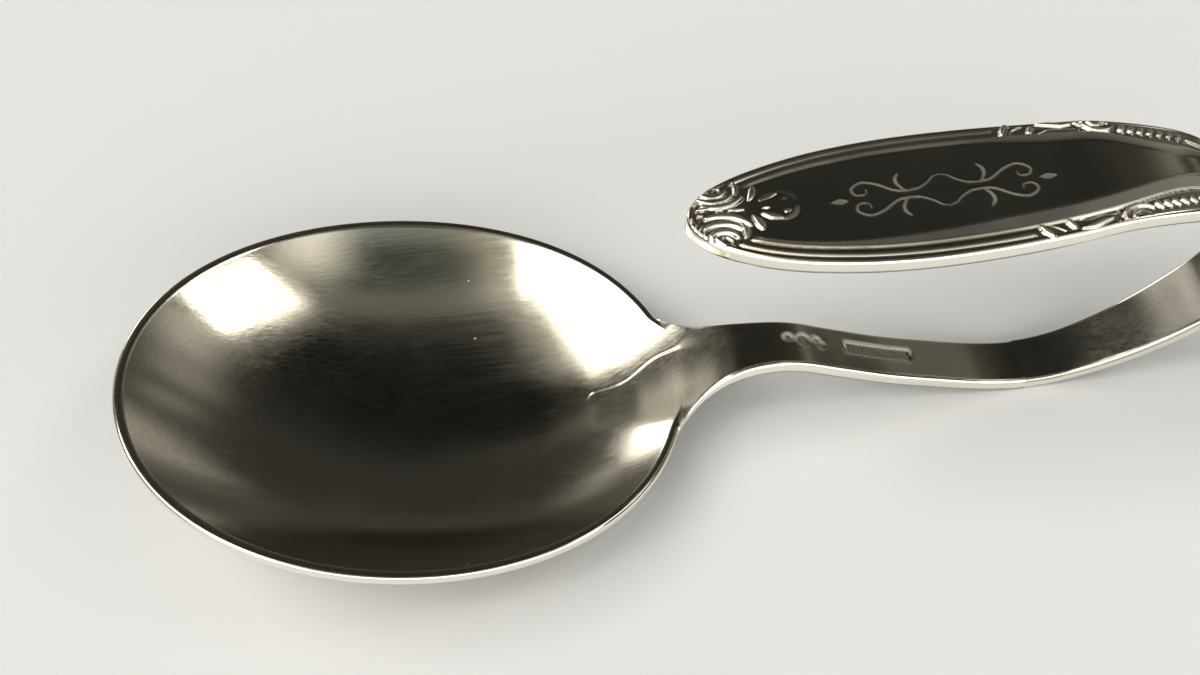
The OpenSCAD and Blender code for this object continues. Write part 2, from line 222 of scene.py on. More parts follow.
def make_object(
    name: str, points: Array, corners: Array, lengths: Array, marks: dict[str, Array]
) -> bpy.types.Object:
    """Puts whole arrays into a mesh.

    Args:
        name: the piece's name.
        points: places in metres.
        corners: the faces' corners, one after another.
        lengths: corners in each face.
        marks: values of each point, by the attribute's name.

    Returns:
        The new object at the origin.
    """
    mesh = bpy.data.meshes.new(name)
    mesh.vertices.add(len(points))
    mesh.vertices.foreach_set("co", points.astype(np.float32).ravel())
    mesh.loops.add(len(corners))
    mesh.loops.foreach_set("vertex_index", corners.astype(np.int32))
    mesh.polygons.add(len(lengths))
    starts = np.concatenate([[0], np.cumsum(lengths)[:-1]])
    mesh.polygons.foreach_set("loop_start", starts.astype(np.int32))
    mesh.update(calc_edges=True)
    mesh.validate()
    mesh.shade_smooth()
    mesh.set_sharp_from_angle(angle=math.radians(50))
    for mark, values in marks.items():
        layer = mesh.attributes.new(mark, "FLOAT", "POINT")
        layer.data.foreach_set("value", np.clip(values, 0, 1).astype(np.float32))
    return placed(name, mesh)


# The bowl's and the strap's shapes


@dataclass(frozen=True)
class Places:
    """Places on a face of the strap, each value shaped rows x places.

    Attributes:
        run: distances along the middle line from the plate's free end.
        across: distances from the middle line towards the far side.
        inset: distances in from the outline.
    """

    run: Array
    across: Array
    inset: Array


@dataclass(frozen=True)
class BowlSizes:
    """Driving sizes of the bowl, and its rim and wall as formulas.

    Attributes:
        length, width: of the rim's outline.
        tip_height, heel_height: of the rim's ends over the table.
        rim_sag: how far the rim's long sides dip below the line between its ends.
        rest_run: from the tip to the resting point, where x is 0.
        floor: the metal's thickness at the resting point.
        lip, lip_edge: width of the flat lip, and height of its edge.
        lip_bevel: how far the wall's top lies below the lip.
        end_fullness, egg: how much both ends, and the heel more than the tip, are widened.
        wall_power: power of the walls' heights.
        wear_share: share of the way out that the worn flat reaches.
    """

    length: float = 40.6
    width: float = 32.6
    tip_height: float = 10.4
    heel_height: float = 4.5
    rim_sag: float = 0.46
    rest_run: float = 25.5
    floor: float = 1.0
    lip: float = 0.65
    lip_edge: float = 0.8
    lip_bevel: float = 0.07
    end_fullness: float = 0.047
    egg: float = 0.014
    wall_power: float = 2.2
    wear_share: float = 0.14

    @property
    def heel_x(self) -> float:
        """Where the rim's heel lies."""
        return self.length - self.rest_run

    def rim(self, angle: Array, inset: Array) -> Array:
        """Points of the rim's outline: an ellipse a little fuller at both ends.

        Args:
            angle: radians, 0 at the heel.
            inset: distance in from the outer edge, along the ellipse's radii.

        Returns:
            Points whose last axis is x, y, z, with z at the lip's top.
        """
        angle, inset = np.broadcast_arrays(angle, inset)
        along = np.cos(angle)
        full = 1 + self.end_fullness * along**2 + self.egg * along
        x = self.length / 2 - self.rest_run + (self.length / 2 - inset) * along
        y = (self.width / 2 - inset) * np.sin(angle) * full
        fall = (self.heel_height - self.tip_height) * (1 + along) / 2
        z = self.tip_height + fall - self.rim_sag * (1 - along**2)
        return np.stack([x, y, z], -1)

    def inner_wall(self, angle: Array, share: Array) -> Array:
        """The inside: height grows as a power of the share of the way from rest point to lip."""
        point = self.rim(angle + 0 * share, self.lip)
        top = point[..., 2] - self.lip_bevel
        point[..., 2] = self.floor + (top - self.floor) * share**self.wall_power
        point[..., :2] *= (share + 0 * angle)[..., None]
        return point

    def outer_wall(self, angle: Array, share: Array) -> Array:
        """The outside: the same power law from the worn flat out to the lip's lower edge."""
        point = self.rim(angle + 0 * share, 0.0)
        flat = self.wear_share**self.wall_power
        climb = (share**self.wall_power - flat) / (1 - flat)
        point[..., 2] = (point[..., 2] - self.lip_edge) * climb
        point[..., :2] *= (share + 0 * angle)[..., None]
        return point


@dataclass(frozen=True)
class StrapSizes:
    """Driving sizes of the shank, loop and plate, as the solids have them.

    Attributes:
        shank_run: from the heel to the lowest point, which touches the table.
        neck_fade: run in which the neck's flare falls to 1 / e.
        neck_angle: degrees of the rim that the flare spans on each side of the heel.
        loop_run: from the lowest point out to the loop's far end.
        handle_height: of the plate's highest point over the table.
        plate_fall: how far its free end lies lower.
        tip_run, shoulder_run: lengths of its oval end and of the narrowing behind it.
        top_round, under_round: radii of its long edges.
    """

    shank_run: float = 27.2
    hump_height: float = 7.0
    shank_width: float = 4.15
    shank_thickness: float = 1.12
    neck_fade: float = 1.9
    neck_angle: float = 18.0
    loop_run: float = 15.4
    handle_height: float = 22.2
    loop_width: float = 5.6
    plate_run: float = 29.7
    plate_width: float = 11.5
    plate_thickness: float = 1.18
    plate_fall: float = 0.73
    tip_run: float = 16.5
    shoulder_run: float = 34.0
    top_round: float = 0.42
    under_round: float = 0.26


class Strap:
    """Neck, shank, loop and plate as one strap: a smooth middle line with a width and thickness."""

    shank_shares = (
        (0, 0.64), (0.0625, 0.833), (0.136, 0.957), (0.228, 1), (0.32, 0.94),
        (0.43, 0.734), (0.577, 0.463), (0.724, 0.252), (0.871, 0.072), (1, 0),
    )
    loop_shares = (
        (0.227, 0.027), (0.473, 0.11), (0.708, 0.237), (0.906, 0.4), (1, 0.61),
        (0.922, 0.749), (0.727, 0.873), (0.506, 0.958), (0.149, 1),
    )
    plate_shares = (
        (0.145, 0.74), (0.28, 0.5), (0.414, 0.3), (0.55, 0.13), (0.68, 0), (0.82, -0.12), (1, 0),
    )
    hump_knot = 3
    steps = 24

    def __init__(self, sizes: StrapSizes, bowl: BowlSizes) -> None:
        """Works out the middle line from the knots' shares of the sizes.

        Args:
            sizes: the strap's sizes.
            bowl: the bowl's sizes, whose heel the strap starts from.
        """
        self.sizes = sizes
        self.bowl = bowl
        dip = np.array([bowl.heel_x + sizes.shank_run, sizes.shank_thickness / 2])
        hump_z = sizes.hump_height - sizes.shank_thickness / 2
        crown_z = sizes.handle_height - sizes.plate_thickness / 2
        shank = np.array(self.shank_shares) * [sizes.shank_run, hump_z - dip[1]] + [bowl.heel_x, dip[1]]
        loop = np.array(self.loop_shares) * [sizes.loop_run, crown_z - dip[1]] + dip
        plate = np.array(self.plate_shares) * [-sizes.plate_run, sizes.plate_fall]
        plate += [loop[-1, 0], crown_z - sizes.plate_fall]
        knots = np.vstack([shank, loop, plate])
        self.line = smooth_line(knots, self.steps)[::-1]
        steps = np.hypot(*np.diff(self.line, axis=0).T)
        self.run = np.concatenate([[0], np.cumsum(steps)])
        heading = np.gradient(self.line, self.run, axis=0)
        heading /= np.linalg.norm(heading, axis=1)[:, None]
        self.out = np.stack([-heading[:, 1], heading[:, 0]], -1)
        self.crown_run = self.run[self.steps * len(plate)]
        self.dip_run = self.run[self.steps * (len(plate) + len(loop))]
        self.hump_run = self.run[-1 - self.steps * self.hump_knot]
        self.heel_run = self.run[-1]

    def at(self, run: Array, across: Array, out: Array) -> Array:
        """Points at a run from the plate's free end, across the strap, and out from its middle.

        Args:
            run: distances along the middle line.
            across: distances towards the far side.
            out: distances towards the outward face.

        Returns:
            Points whose last axis is x, y, z.
        """
        run, across, out = np.broadcast_arrays(run, across, out)
        x = np.interp(run, self.run, self.line[:, 0]) + out * np.interp(run, self.run, self.out[:, 0])
        z = np.interp(run, self.run, self.line[:, 1]) + out * np.interp(run, self.run, self.out[:, 1])
        return np.stack([x, across, z], -1)

    def x_of(self, run: Array) -> Array:
        """How far along the spoon the middle line is at a run."""
        return np.interp(run, self.run, self.line[:, 0])

    def half_width(self, run: Array) -> Array:
        """Half the strap's width: an oval end, eased shoulders, and a flare that fades at the neck."""
        s = self.sizes
        oval = np.sqrt(np.clip(1 - (1 - run / s.tip_run) ** 2, 0, 1)) * s.plate_width / 2
        narrowed = rise(run, s.tip_run, s.shoulder_run)
        shoulder = s.plate_width + (s.loop_width - s.plate_width) * narrowed
        loop_end = s.tip_run + s.shoulder_run
        narrowed = rise(run, loop_end, self.dip_run - loop_end)
        back = s.loop_width + (s.shank_width - s.loop_width) * narrowed
        neck_half = self.bowl.rim(math.radians(s.neck_angle), 0.0)[1]
        fading = np.exp((self.bowl.heel_x - self.x_of(run)) / s.neck_fade)
        back = back / 2 + np.where(run > self.dip_run, (neck_half - s.shank_width / 2) * fading, 0)
        return np.where(run < s.tip_run, oval, np.where(run < loop_end, shoulder / 2, back))

    def tilt(self, run: Array, reach: float) -> Array:
        """Slope of the half width, taken over a reach on each side."""
        return (self.half_width(run + reach) - self.half_width(run - reach)) / (2 * reach)

    def inset(self, run: Array, across: Array) -> Array:
        """Distance in from the outline.

        On the oval end it is the ellipse's own level over the length of its gradient, and
        elsewhere the gap to the side, shortened by the side's slope.

        Args:
            run: distances along the middle line.
            across: distances towards the far side.

        Returns:
            The distances, 0 on the outline.
        """
        s = self.sizes
        half = s.plate_width / 2
        level = np.sqrt((1 - run / s.tip_run) ** 2 + (across / half) ** 2)
        slope = np.hypot((1 - run / s.tip_run) / s.tip_run, across / half**2) / np.maximum(level, 1e-6)
        oval = (1 - level) / np.maximum(slope, 1e-6)
        side = (self.half_width(run) - np.abs(across)) / np.sqrt(1 + self.tilt(run, 0.05) ** 2)
        return np.maximum(np.where(run < s.tip_run, oval, side), 0)

    def places(self, run: Array, across: Array) -> Places:
        """The places of a grid, with their insets."""
        run, across = np.broadcast_arrays(run, across)
        return Places(run, across, self.inset(run, across))

    def thickness(self, run: Array) -> Array:
        """Thickness at a run, eased from the plate's to the shank's round the loop."""
        s = self.sizes
        share = rise(run, self.crown_run, self.dip_run - self.crown_run)
        return s.plate_thickness + (s.shank_thickness - s.plate_thickness) * share


# Struck ornament


@dataclass(frozen=True)
class Stroke:
    """A raised or sunk stroke of the ornament, along a line on the plate.

    Attributes:
        line: places as (run, across).
        half_widths: one for each place.
        height: of its middle over the ground, negative where it is sunk.
    """

    line: Array
    half_widths: Array
    height: float

    def over(self, places: Places) -> Array:
        """Height at each place: a ridge with a rounded top and soft feet, 0 away from the stroke.

        Its sides are half a cosine wave over three quarters of the half width.

        Args:
            places: where the height is wanted.

        Returns:
            The height.
        """
        run, across = places.run, places.across
        height = np.zeros(run.shape)
        reach = self.half_widths.max()
        rows = (run[:, 0] > self.line[:, 0].min() - reach) & (run[:, 0] < self.line[:, 0].max() + reach)
        if not rows.any():
            return height
        x, y = run[rows], across[rows]
        best = np.zeros(x.shape)
        for i in range(len(self.line) - 1):
            start, step = self.line[i], self.line[i + 1] - self.line[i]
            share = ((x - start[0]) * step[0] + (y - start[1]) * step[1]) / (step @ step)
            share = np.clip(share, 0, 1)
            gap = np.hypot(x - start[0] - share * step[0], y - start[1] - share * step[1])
            width = self.half_widths[i] + (self.half_widths[i + 1] - self.half_widths[i]) * share
            best = np.maximum(best, 1 - gap / width)
        height[rows] = self.height * ease(best * 1.33)
        return height


def swelling(line: Array, width: float, height: float, end_share: float = 0.3) -> Stroke:
    """A stroke whose width swells as half a sine wave, from thin ends to the full one half way."""
    share = np.sin(np.linspace(0, np.pi, len(line)))
    return Stroke(line, width / 2 * (end_share + (1 - end_share) * share), height)


def arc(centre: Pair, radius: float, start: float, stop: float, steps: int = 16) -> Array:
    """Places on an arc, from one angle in degrees to another."""
    angle = np.radians(np.linspace(start, stop, steps + 1))
    return np.stack([centre[0] + radius * np.cos(angle), centre[1] + radius * np.sin(angle)], -1)


@dataclass(frozen=True)
class Ornament:
    """The struck border of the plate: threads, end volutes, middle leaf, and shoulder scrolls.

    A pair named for what begins, ends, fades, grows or gathers is the run where that starts,
    and the run it takes. Far shares are the far side's share of a height.

    Attributes:
        strap: the strap it is struck on.
        relief: height of the fully struck strokes.
        thread_inset, thread_width, thread_height: of the outer thread.
        thread_pitch: from the outer thread in to the moulding's crest.
        moulding_outer: width of the moulding's steep outer side.
        moulding_near, moulding_far: width of its inner side at first, and how much it grows.
        gather_room: how much further in the crest lies on the loop.
        scroll_from: run where the shoulder scrolls start.
        axis: how far off the middle line the end's ornament is struck.
        field_middle: middle of the engraved flourish.
        eyes, squeeze: middles of the near and far volutes, and their shares of full width.
        ring_radii, ring_arcs: of the rings round an eye, with their first and last degrees.
        flutes: a volute's flutes, each from its inner to its outer end.
        leaf_span, leaf_half: where the leaf's sunk ground starts, its length and half width.
        field_wear: of the plain field; the other wear and dark values are added and taken off.
        border_matt, late_matt, late_from: how matt the border is, how much more it is on the
            shoulders, and the run where that starts, with the run it takes.
        far_matt: the far side's share of it.
        cut_matt: how matt the engraving is.
    """

    strap: Strap
    relief: float = 0.18
    thread_inset: float = 0.68
    thread_pitch: float = 0.76
    thread_width: float = 0.5
    thread_height: float = 0.1
    thread_begins: Pair = (2.9, 0.6)
    thread_ends: Pair = (22.0, 0.5)
    groove_depth: float = 0.05
    groove_ends: Pair = (33, 6)
    moulding_height: float = 0.16
    moulding_outer: float = 0.26
    moulding_near: Pair = (0.5, 0.8)
    moulding_far: Pair = (0.34, 0.4)
    near_grows: Pair = (6, 18)
    far_grows: Pair = (20, 5)
    moulding_begins: Pair = (3.6, 1.2)
    moulding_ends: Pair = (33, 7)
    painted_shade_ends: Pair = (21, 5)
    far_moulding: float = 0.75
    far_thread: float = 0.6
    far_leaf: float = 0.55
    gathers: Pair = (27.5, 6.5)
    gather_room: float = 0.75
    scroll_from: float = 22.4
    axis: float = 0.42
    field_middle: Pair = (17.6, 0.1)
    cut_width: float = 0.34
    cut_depth: float = 0.04
    eyes: tuple[Pair, ...] = ((2.2, -2.42), (2.1, 2.42))
    squeeze: tuple[float, ...] = (1.0, 0.7)
    ring_radii: tuple[float, ...] = (1.02, 1.7, 2.38)
    ring_arcs: tuple[Pair, ...] = ((25, 165), (42, 130), (36, 112))
    flutes: tuple[tuple[Pair, ...], ...] = (
        ((-1.02, 1.22), (-1.5, 0.42)), ((-1.14, 1.68), (-1.85, 0.82)), ((-1.3, 2.0), (-1.85, 1.4)),
    )
    ridge_width: float = 0.68
    leaf_span: Pair = (2.0, 6.2)
    leaf_half: float = 1.5
    leaf_fades: Pair = (6.9, 1.2)
    end_fades: Pair = (3.9, 1.2)
    field_wear: float = 0.48
    crest_wear: float = 0.25
    chamfer_wear: float = 0.26
    edge_wear: float = 0.5
    cut_wear: float = 0.4
    hollow_dark: float = 0.16
    painted_shade_dark: float = 0.5
    border_matt: float = 0.55
    late_matt: float = 0.25
    late_from: Pair = (22, 6)
    far_matt: float = 0.7
    cut_matt: float = 0.8

    def by_edge(self, places: list[Pair], side: Side) -> Array:
        """Turns places by the edge into (run, across) on one side.

        Args:
            places: runs from where the shoulder scroll starts, and insets from the edge.
            side: the side it is on.

        Returns:
            The places as (run, across).
        """
        run, inset = np.array(places, float).T
        run = run + self.scroll_from
        in_from_edge = inset * np.sqrt(1 + self.strap.tilt(run, 0.2) ** 2)
        return np.stack([run, side.value * (self.strap.half_width(run) - in_from_edge)], -1)

    def volute(self, side: Side) -> list[Stroke]:
        """One end volute: rings round an eye with a pit beside it, and flutes towards the tip.

        It is drawn about its eye with the other volute's side up, then set down on its side.

        Args:
            side: the side it is on.

        Returns:
            The strokes.
        """
        which = (side.value + 1) // 2
        centre = np.array(self.eyes[which])
        flip = np.array([1, -side.value * self.squeeze[which]])
        eye = centre + np.array([(-0.55, 0.3), (-0.42, 0.02), (-0.12, -0.22)]) * flip
        pit = centre + np.array([(0.1, 0.36), (0.32, 0.12)]) * flip
        strokes = [
            Stroke(eye, np.array([0.2, 0.3, 0.22]), self.relief),
            Stroke(pit, np.array([0.36, 0.34]), -0.12),
        ]
        for radius, (start, stop) in zip(self.ring_radii, self.ring_arcs):
            line = centre + arc((0, 0), radius, start, stop) * flip
            strokes.append(swelling(line, self.ridge_width, self.relief, 0.6))
        for flute in self.flutes:
            strokes.append(swelling(centre + np.array(flute) * flip, 0.36, self.relief * 0.9))
        return strokes

    def leaves(self, side: Side) -> list[Stroke]:
        """The buds beside a volute and one side of the middle leaf, which is fainter on the far side.

        Each lobe is drawn about the ornament's axis, with its width and its share of the relief.

        Args:
            side: the side it is on.

        Returns:
            The strokes.
        """
        lobes = (
            ([(4.45, 0.74), (4.7, 1.15), (4.85, 1.6), (4.9, 1.95)], 0.8, 1.0),
            ([(3.55, 1.3), (3.75, 1.7), (3.78, 2.1), (3.6, 2.5)], 0.72, 1.0),
            ([(5.15, 0.6), (5.6, 0.82), (6.0, 0.98), (6.45, 1.14)], 0.74, 0.85),
            ([(6.1, 1.12), (6.7, 1.2), (7.2, 1.0), (7.5, 0.62), (7.62, 0.2)], 0.56, 0.42),
            ([(6.7, 0.62), (7.1, 0.5)], 0.5, 0.5),
        )
        worn = self.far_leaf if side is Side.FAR else 1.0
        strokes = []
        for line, width, share in lobes:
            line = np.array(line) * [1, side.value] + [0, self.axis]
            height = self.relief * share * worn
            strokes.append(swelling(smooth_line(line, 4), width * (0.5 + 0.5 * worn), height))
        return strokes

    def middle(self) -> list[Stroke]:
        """Small ridges and beads on the axis, between the volutes and in the leaf."""
        lines = (
            ([(0.8, 0.14), (1.2, 0.22), (1.6, 0.2)], 0.4, 0.9),
            ([(0.8, -0.36), (1.1, -0.4)], 0.42, 1.0),
            ([(0.28, -0.72), (0.34, -0.6)], 0.6, 1.0),
            ([(2.15, 0.0), (2.5, 0.02)], 0.36, 0.8),
            ([(2.95, -0.05), (3.4, 0.0), (3.95, -0.06)], 0.32, 0.6),
            ([(5.3, -0.1), (5.7, -0.06)], 0.4, 0.6),
        )
        shift = np.array([0, self.axis])
        return [swelling(np.array(line) + shift, width, self.relief * share, 0.5)
            for line, width, share in lines]

    def flourish(self) -> list[Stroke]:
        """Engraved scrolls in the field: one curve, set down four times about the field's middle."""
        curl = [(0.0, 1.42), (0.45, 1.3), (1.05, 0.78), (1.9, 0.36), (3.2, 0.42), (4.4, 1.2),
            (5.4, 1.5), (6.15, 1.0), (5.95, 0.42), (5.3, 0.42), (5.2, 0.86)]
        sprig = [(2.6, 0.32), (3.0, 1.0), (3.0, 1.55), (2.7, 1.95)]
        bud = [(6.6, 0.0), (7.1, 0.12), (7.7, 0.0)]
        strokes = []
        for x_side in (-1, 1):
            for y_side in (-1, 1):
                for knots, width in ((curl, 1.0), (sprig, 1.3), (bud, 1.2)):
                    line = smooth_line(np.array(knots) * [x_side, y_side] + self.field_middle, 5)
                    strokes.append(swelling(line, self.cut_width * width, -self.cut_depth, 0.45))
        return strokes

    def engraved(self, places: Places) -> Array:
        """Depth of the engraving as a share of its full depth."""
        share = np.zeros(places.run.shape)
        for stroke in self.flourish():
            share = np.maximum(share, stroke.over(places) / stroke.height)
        return share

    def scroll(self, side: Side) -> list[Stroke]:
        """The shoulder's scroll: a comma, a bead, a leaf, a volute, and a row of beads."""
        comma = [(0.4, 1.15), (0.6, 0.75), (0.85, 0.36)]
        bead = [(2.3, 1.15), (2.5, 0.7)]
        pit = [(7.35, 0.66), (7.65, 0.5)]
        swelled = (
            ([(1.0, 1.2), (1.35, 0.85), (1.9, 0.5)], 0.5, -0.1, 0.3),
            ([(3.0, 0.4), (3.8, 0.42), (4.6, 0.6), (5.2, 0.62)], 0.6, self.relief * 0.9, 0.3),
            ([(2.9, 1.25), (3.7, 0.95), (4.6, 1.02), (5.5, 0.98)], 0.4, -0.08, 0.3),
            ([(5.75, 1.2), (5.6, 0.7), (5.5, 0.3)], 0.44, -0.1, 0.3),
            ([(5.95, 0.4), (6.1, 0.8), (6.45, 1.1), (7.0, 1.25), (7.6, 1.15), (8.0, 0.86)],
                0.5, self.relief, 0.6),
            ([(6.5, 0.4), (6.7, 0.66), (7.1, 0.74)], 0.44, self.relief * 0.7, 0.6),
            ([(13.0, 1.3), (14.2, 1.5), (15.6, 1.6)], 0.5, self.relief * 0.6, 0.3),
        )
        strokes = [
            Stroke(self.by_edge(comma, side), np.array([0.22, 0.32, 0.24]), self.relief),
            Stroke(self.by_edge(bead, side), np.array([0.28, 0.26]), self.relief),
            Stroke(self.by_edge(pit, side), np.array([0.26, 0.22]), -0.12),
        ]
        for line, width, height, end_share in swelled:
            strokes.append(swelling(self.by_edge(line, side), width, height, end_share))
        for k in range(7):
            run = 8.5 + 0.66 * k
            place = self.by_edge([(run, 1.1 + 0.03 * k), (run + 0.14, 0.86 + 0.03 * k)], side)
            size = 0.36 - 0.012 * k
            strokes.append(Stroke(place, np.array([size, size * 0.8]), self.relief * (1 - 0.05 * k)))
        return strokes

    def moulding(self, past: Array, places: Places) -> Array:
        """The moulding: steep on its outer side, and straight down to the field on its inner one.

        Args:
            past: distance in from its crest.
            places: where its height is wanted.

        Returns:
            Its height.
        """
        run = places.run
        near_width = self.moulding_near[0] + self.moulding_near[1] * rise(run, *self.near_grows)
        far_width = self.moulding_far[0] + self.moulding_far[1] * rise(run, *self.far_grows)
        inner = 1 - np.clip(past / np.where(places.across < 0, near_width, far_width), 0, 1)
        outer = 1 - ease(-past / self.moulding_outer)
        height = self.moulding_height * np.where(past > 0, inner, outer)
        height = height * lasting(run, self.moulding_begins, self.moulding_ends)
        return height * np.where(places.across > 0, self.far_moulding, 1.0)

    def thread(self, places: Places) -> Array:
        """The outer thread: half a cosine wave on each side of its middle, lower on the far side."""
        off = np.abs(places.inset - self.thread_inset) / (self.thread_width / 2)
        height = self.thread_height * ease(1 - off)
        height = height * lasting(places.run, self.thread_begins, self.thread_ends)
        return height * np.where(places.across > 0, self.far_thread, 1.0)

    def ground(self, past: Array, places: Places) -> Array:
        """How deep the ground is sunk: along the border, round the end's ornament, and in its leaf.

        Args:
            past: distance in from the moulding's crest.
            places: where the depth is wanted.

        Returns:
            The depth.
        """
        run, inset = places.run, places.inset
        border = rise(inset, 0.36, 0.16) * (1 - rise(past, 0, 0.1)) * (1 - rise(run, *self.groove_ends))
        leaf_share = np.clip((run - self.leaf_span[0]) / self.leaf_span[1], 0, 1)
        leaf_half = self.leaf_half * np.sin(np.pi * leaf_share) ** 0.7
        leaf = 0.3 - 0.3 * rise(np.abs(places.across - self.axis), leaf_half, 0.6)
        end = np.maximum(1 - rise(run, *self.end_fades), leaf * (1 - rise(run, *self.leaf_fades)))
        return self.groove_depth * np.maximum(border, 0.6 * end * rise(inset, 0.2, 0.7))

    def height(self, places: Places) -> Array:
        """The relief over the plain face: moulding, thread and raised strokes on a sunk ground.

        What is raised is the highest of them, the sunk strokes are pressed into it, and the
        engraving is cut last.

        Args:
            places: where the height is wanted.

        Returns:
            Heights, negative in the grooves.
        """
        past = places.inset - self.thread_inset - self.thread_pitch
        past = past - self.gather_room * rise(places.run, *self.gathers)
        raised = np.maximum(self.moulding(past, places), self.thread(places))
        sunk = 0 * raised
        strokes = self.middle()
        for side in Side:
            strokes += self.volute(side) + self.leaves(side) + self.scroll(side)
        for stroke in strokes:
            if stroke.height > 0:
                raised = np.maximum(raised, stroke.over(places))
            else:
                sunk = np.minimum(sunk, stroke.over(places))
        ground = self.ground(past, places) * (1 - ease(raised / 0.08))
        return raised - ground + sunk - self.cut_depth * self.engraved(places)

    def wear(self, height: Array, places: Places) -> Array:
        """Rubbed crests, edges and cuts are bright, hollows are dark, and the field is between.

        The near moulding's inner side is rubbed too, and its outer side is darkened by painted shade.

        Args:
            height: the relief's height.
            places: where the wear is wanted.

        Returns:
            The wear, 0 to 1.
        """
        run, inset, near = places.run, places.inset, places.across < 0
        crest = self.crest_wear * ease(height / 0.12)
        chamfer = self.chamfer_wear * rise(height, 0.01, 0.03) * near * (inset > self.thread_inset)
        hollow = self.hollow_dark * np.clip(-height / self.groove_depth, 0, 1)
        edge = self.edge_wear * (1 - rise(inset, 0, 0.3))
        past = inset - self.thread_inset - self.thread_pitch
        # Painted shade on the near moulding's outer slope.
        painted_shade = self.painted_shade_dark * near * lasting(past, (-0.46, 0.15), (0, 0.06))
        painted_shade = painted_shade * lasting(run, self.moulding_begins, self.painted_shade_ends)
        cut = self.engraved(places)
        worn = self.field_wear + np.maximum(crest, chamfer) - painted_shade - hollow * (1 - cut)
        return np.clip(worn + edge + self.cut_wear * cut, 0, 1)

    def matt(self, height: Array, places: Places) -> Array:
        """How matt the struck border and the engraving are, against the polished field."""
        late = self.late_matt * rise(places.run, *self.late_from)
        far = np.where(places.across > self.axis + 0.6, self.far_matt, 1.0)
        raised = (self.border_matt + late) * ease(height / 0.05) * far
        sunk = 0.5 * self.border_matt * ease(-height / 0.04)
        return np.maximum(np.maximum(raised, sunk), self.cut_matt * self.engraved(places))


# Sub-assemblies


@dataclass
class Part:
    """A sub-assembly: one closed skin that stands for some of the solids.

    Attributes:
        name: the piece's name.
        nodes: the solids that it stands for.
        slot: its material slot, which is not used.
    """

    name: str
    nodes: tuple[str, ...]
    slot: Slot

    def skin(self) -> Skin:
        """The skin, which each kind of part works out in its own way."""
        raise NotImplementedError

    def build(self, finish: "Silver") -> bpy.types.Object:
        """Makes the piece, with its silver, its body and the solids it stands for.

        Args:
            finish: the silver it is made of.

        Returns:
            The piece.
        """
        piece = self.skin().build(self.name)
        piece.data.materials.append(finish.material())
        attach(piece, "root")
        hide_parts(*self.nodes)
        faces, nodes = len(piece.data.polygons), ", ".join(self.nodes)
        log.info("%s: %d faces, stands for %s", self.name, faces, nodes)
        return piece


@dataclass
class StrapPiece(Part):
    """A stretch of the strap, as a closed skin with rounded long edges.

    Attributes:
        strap: the strap it is a stretch of.
        runs: where its rings lie along the strap.
        half_steps, under_steps: places across each half of the upper face and the underside.
        side_steps: places down each side.
        crowding: how strongly the places crowd towards the long edges.
        face: 1 where the upper face is the strap's outward one, -1 where it is the other.
        under_wear, near_side_wear_and_highlight, far_side_wear_and_shade: wear of the underside and of
        the two sides, with a painted highlight making the near side brighter and painted shade keeping
        the far side darker.
    """

    strap: Strap
    runs: Array
    half_steps: int
    crowding: float = 1.6
    under_steps: int = 15
    side_steps: int = 4
    face: int = 1
    under_wear: float = 0.5
    near_side_wear_and_highlight: float = 0.95
    far_side_wear_and_shade: float = 0.6

    def relief(self, places: Places) -> Array:
        """Height of what is struck or stamped on the upper face."""
        return np.zeros(places.run.shape)

    def wear(self, height: Array, places: Places) -> Array:
        """Wear of the upper face: brighter along its edges."""
        return 0.47 + 0.5 * (1 - rise(places.inset, 0, 0.3))

    def matt(self, height: Array, places: Places) -> Array:
        """How matt the upper face is."""
        return 0 * height

    def down_side(self, first: Array, last: Array) -> Array:
        """The values down a side, evenly between the columns that it joins."""
        return first + (last - first) * np.linspace(0, 1, self.side_steps + 2)[None, 1:-1]

    def skin(self) -> Skin:
        """Rings of the section: the top with its relief, a side, the underside, and the other side.

        Top and underside lie half the thickness out, less the rounded edges' drop at each
        place's inset, and the sides join them in straight lines.

        Returns:
            The skin.
        """
        strap, sizes = self.strap, self.strap.sizes
        run = self.runs[:, None]
        half = strap.half_width(run)
        thick = strap.thickness(run) / 2
        top = half * crowded(self.half_steps, self.crowding)
        upper = strap.places(run, top)
        height = self.relief(upper) * rise(upper.inset, 0.05, 0.3)
        top_out = thick - round_drop(upper.inset, sizes.top_round) + height
        under = -half * crowded(self.under_steps, self.crowding)
        under_out = round_drop(strap.places(run, under).inset, sizes.under_round) - thick
        far_out = self.down_side(top_out[:, -1:], under_out[:, :1])
        near_out = self.down_side(under_out[:, -1:], top_out[:, :1])
        far, near = self.down_side(half, half), self.down_side(-half, -half)
        across = np.concatenate([top, far, under, near], 1)
        out = np.concatenate([top_out, far_out, under_out, near_out], 1)
        count = top.shape[1]
        wear = np.full(out.shape, self.under_wear)
        wear[:, :count] = self.wear(height, upper)
        # The sides: a painted highlight on the near one and painted shade on the far one, on top of
        # their wear.
        wear[:, count : count + self.side_steps] = self.far_side_wear_and_shade
        wear[:, -self.side_steps :] = self.near_side_wear_and_highlight
        matt = 0 * wear
        matt[:, :count] = self.matt(height, upper)
        return Skin(strap.at(run, across, self.face * out), wear, matt)


@dataclass
class HandlePlate(StrapPiece):
    """The long oval plate, or the loop behind it, with the struck border.

    Attributes:
        ornament: the struck border and the engraving.
    """

    ornament: Ornament | None = None

    def relief(self, places: Places) -> Array:
        """The struck border's height."""
        return self.ornament.height(places)

    def wear(self, height: Array, places: Places) -> Array:
        """The struck border's wear."""
        return self.ornament.wear(height, places)

    def matt(self, height: Array, places: Places) -> Array:
        """The struck border's matting."""
        return self.ornament.matt(height, places)


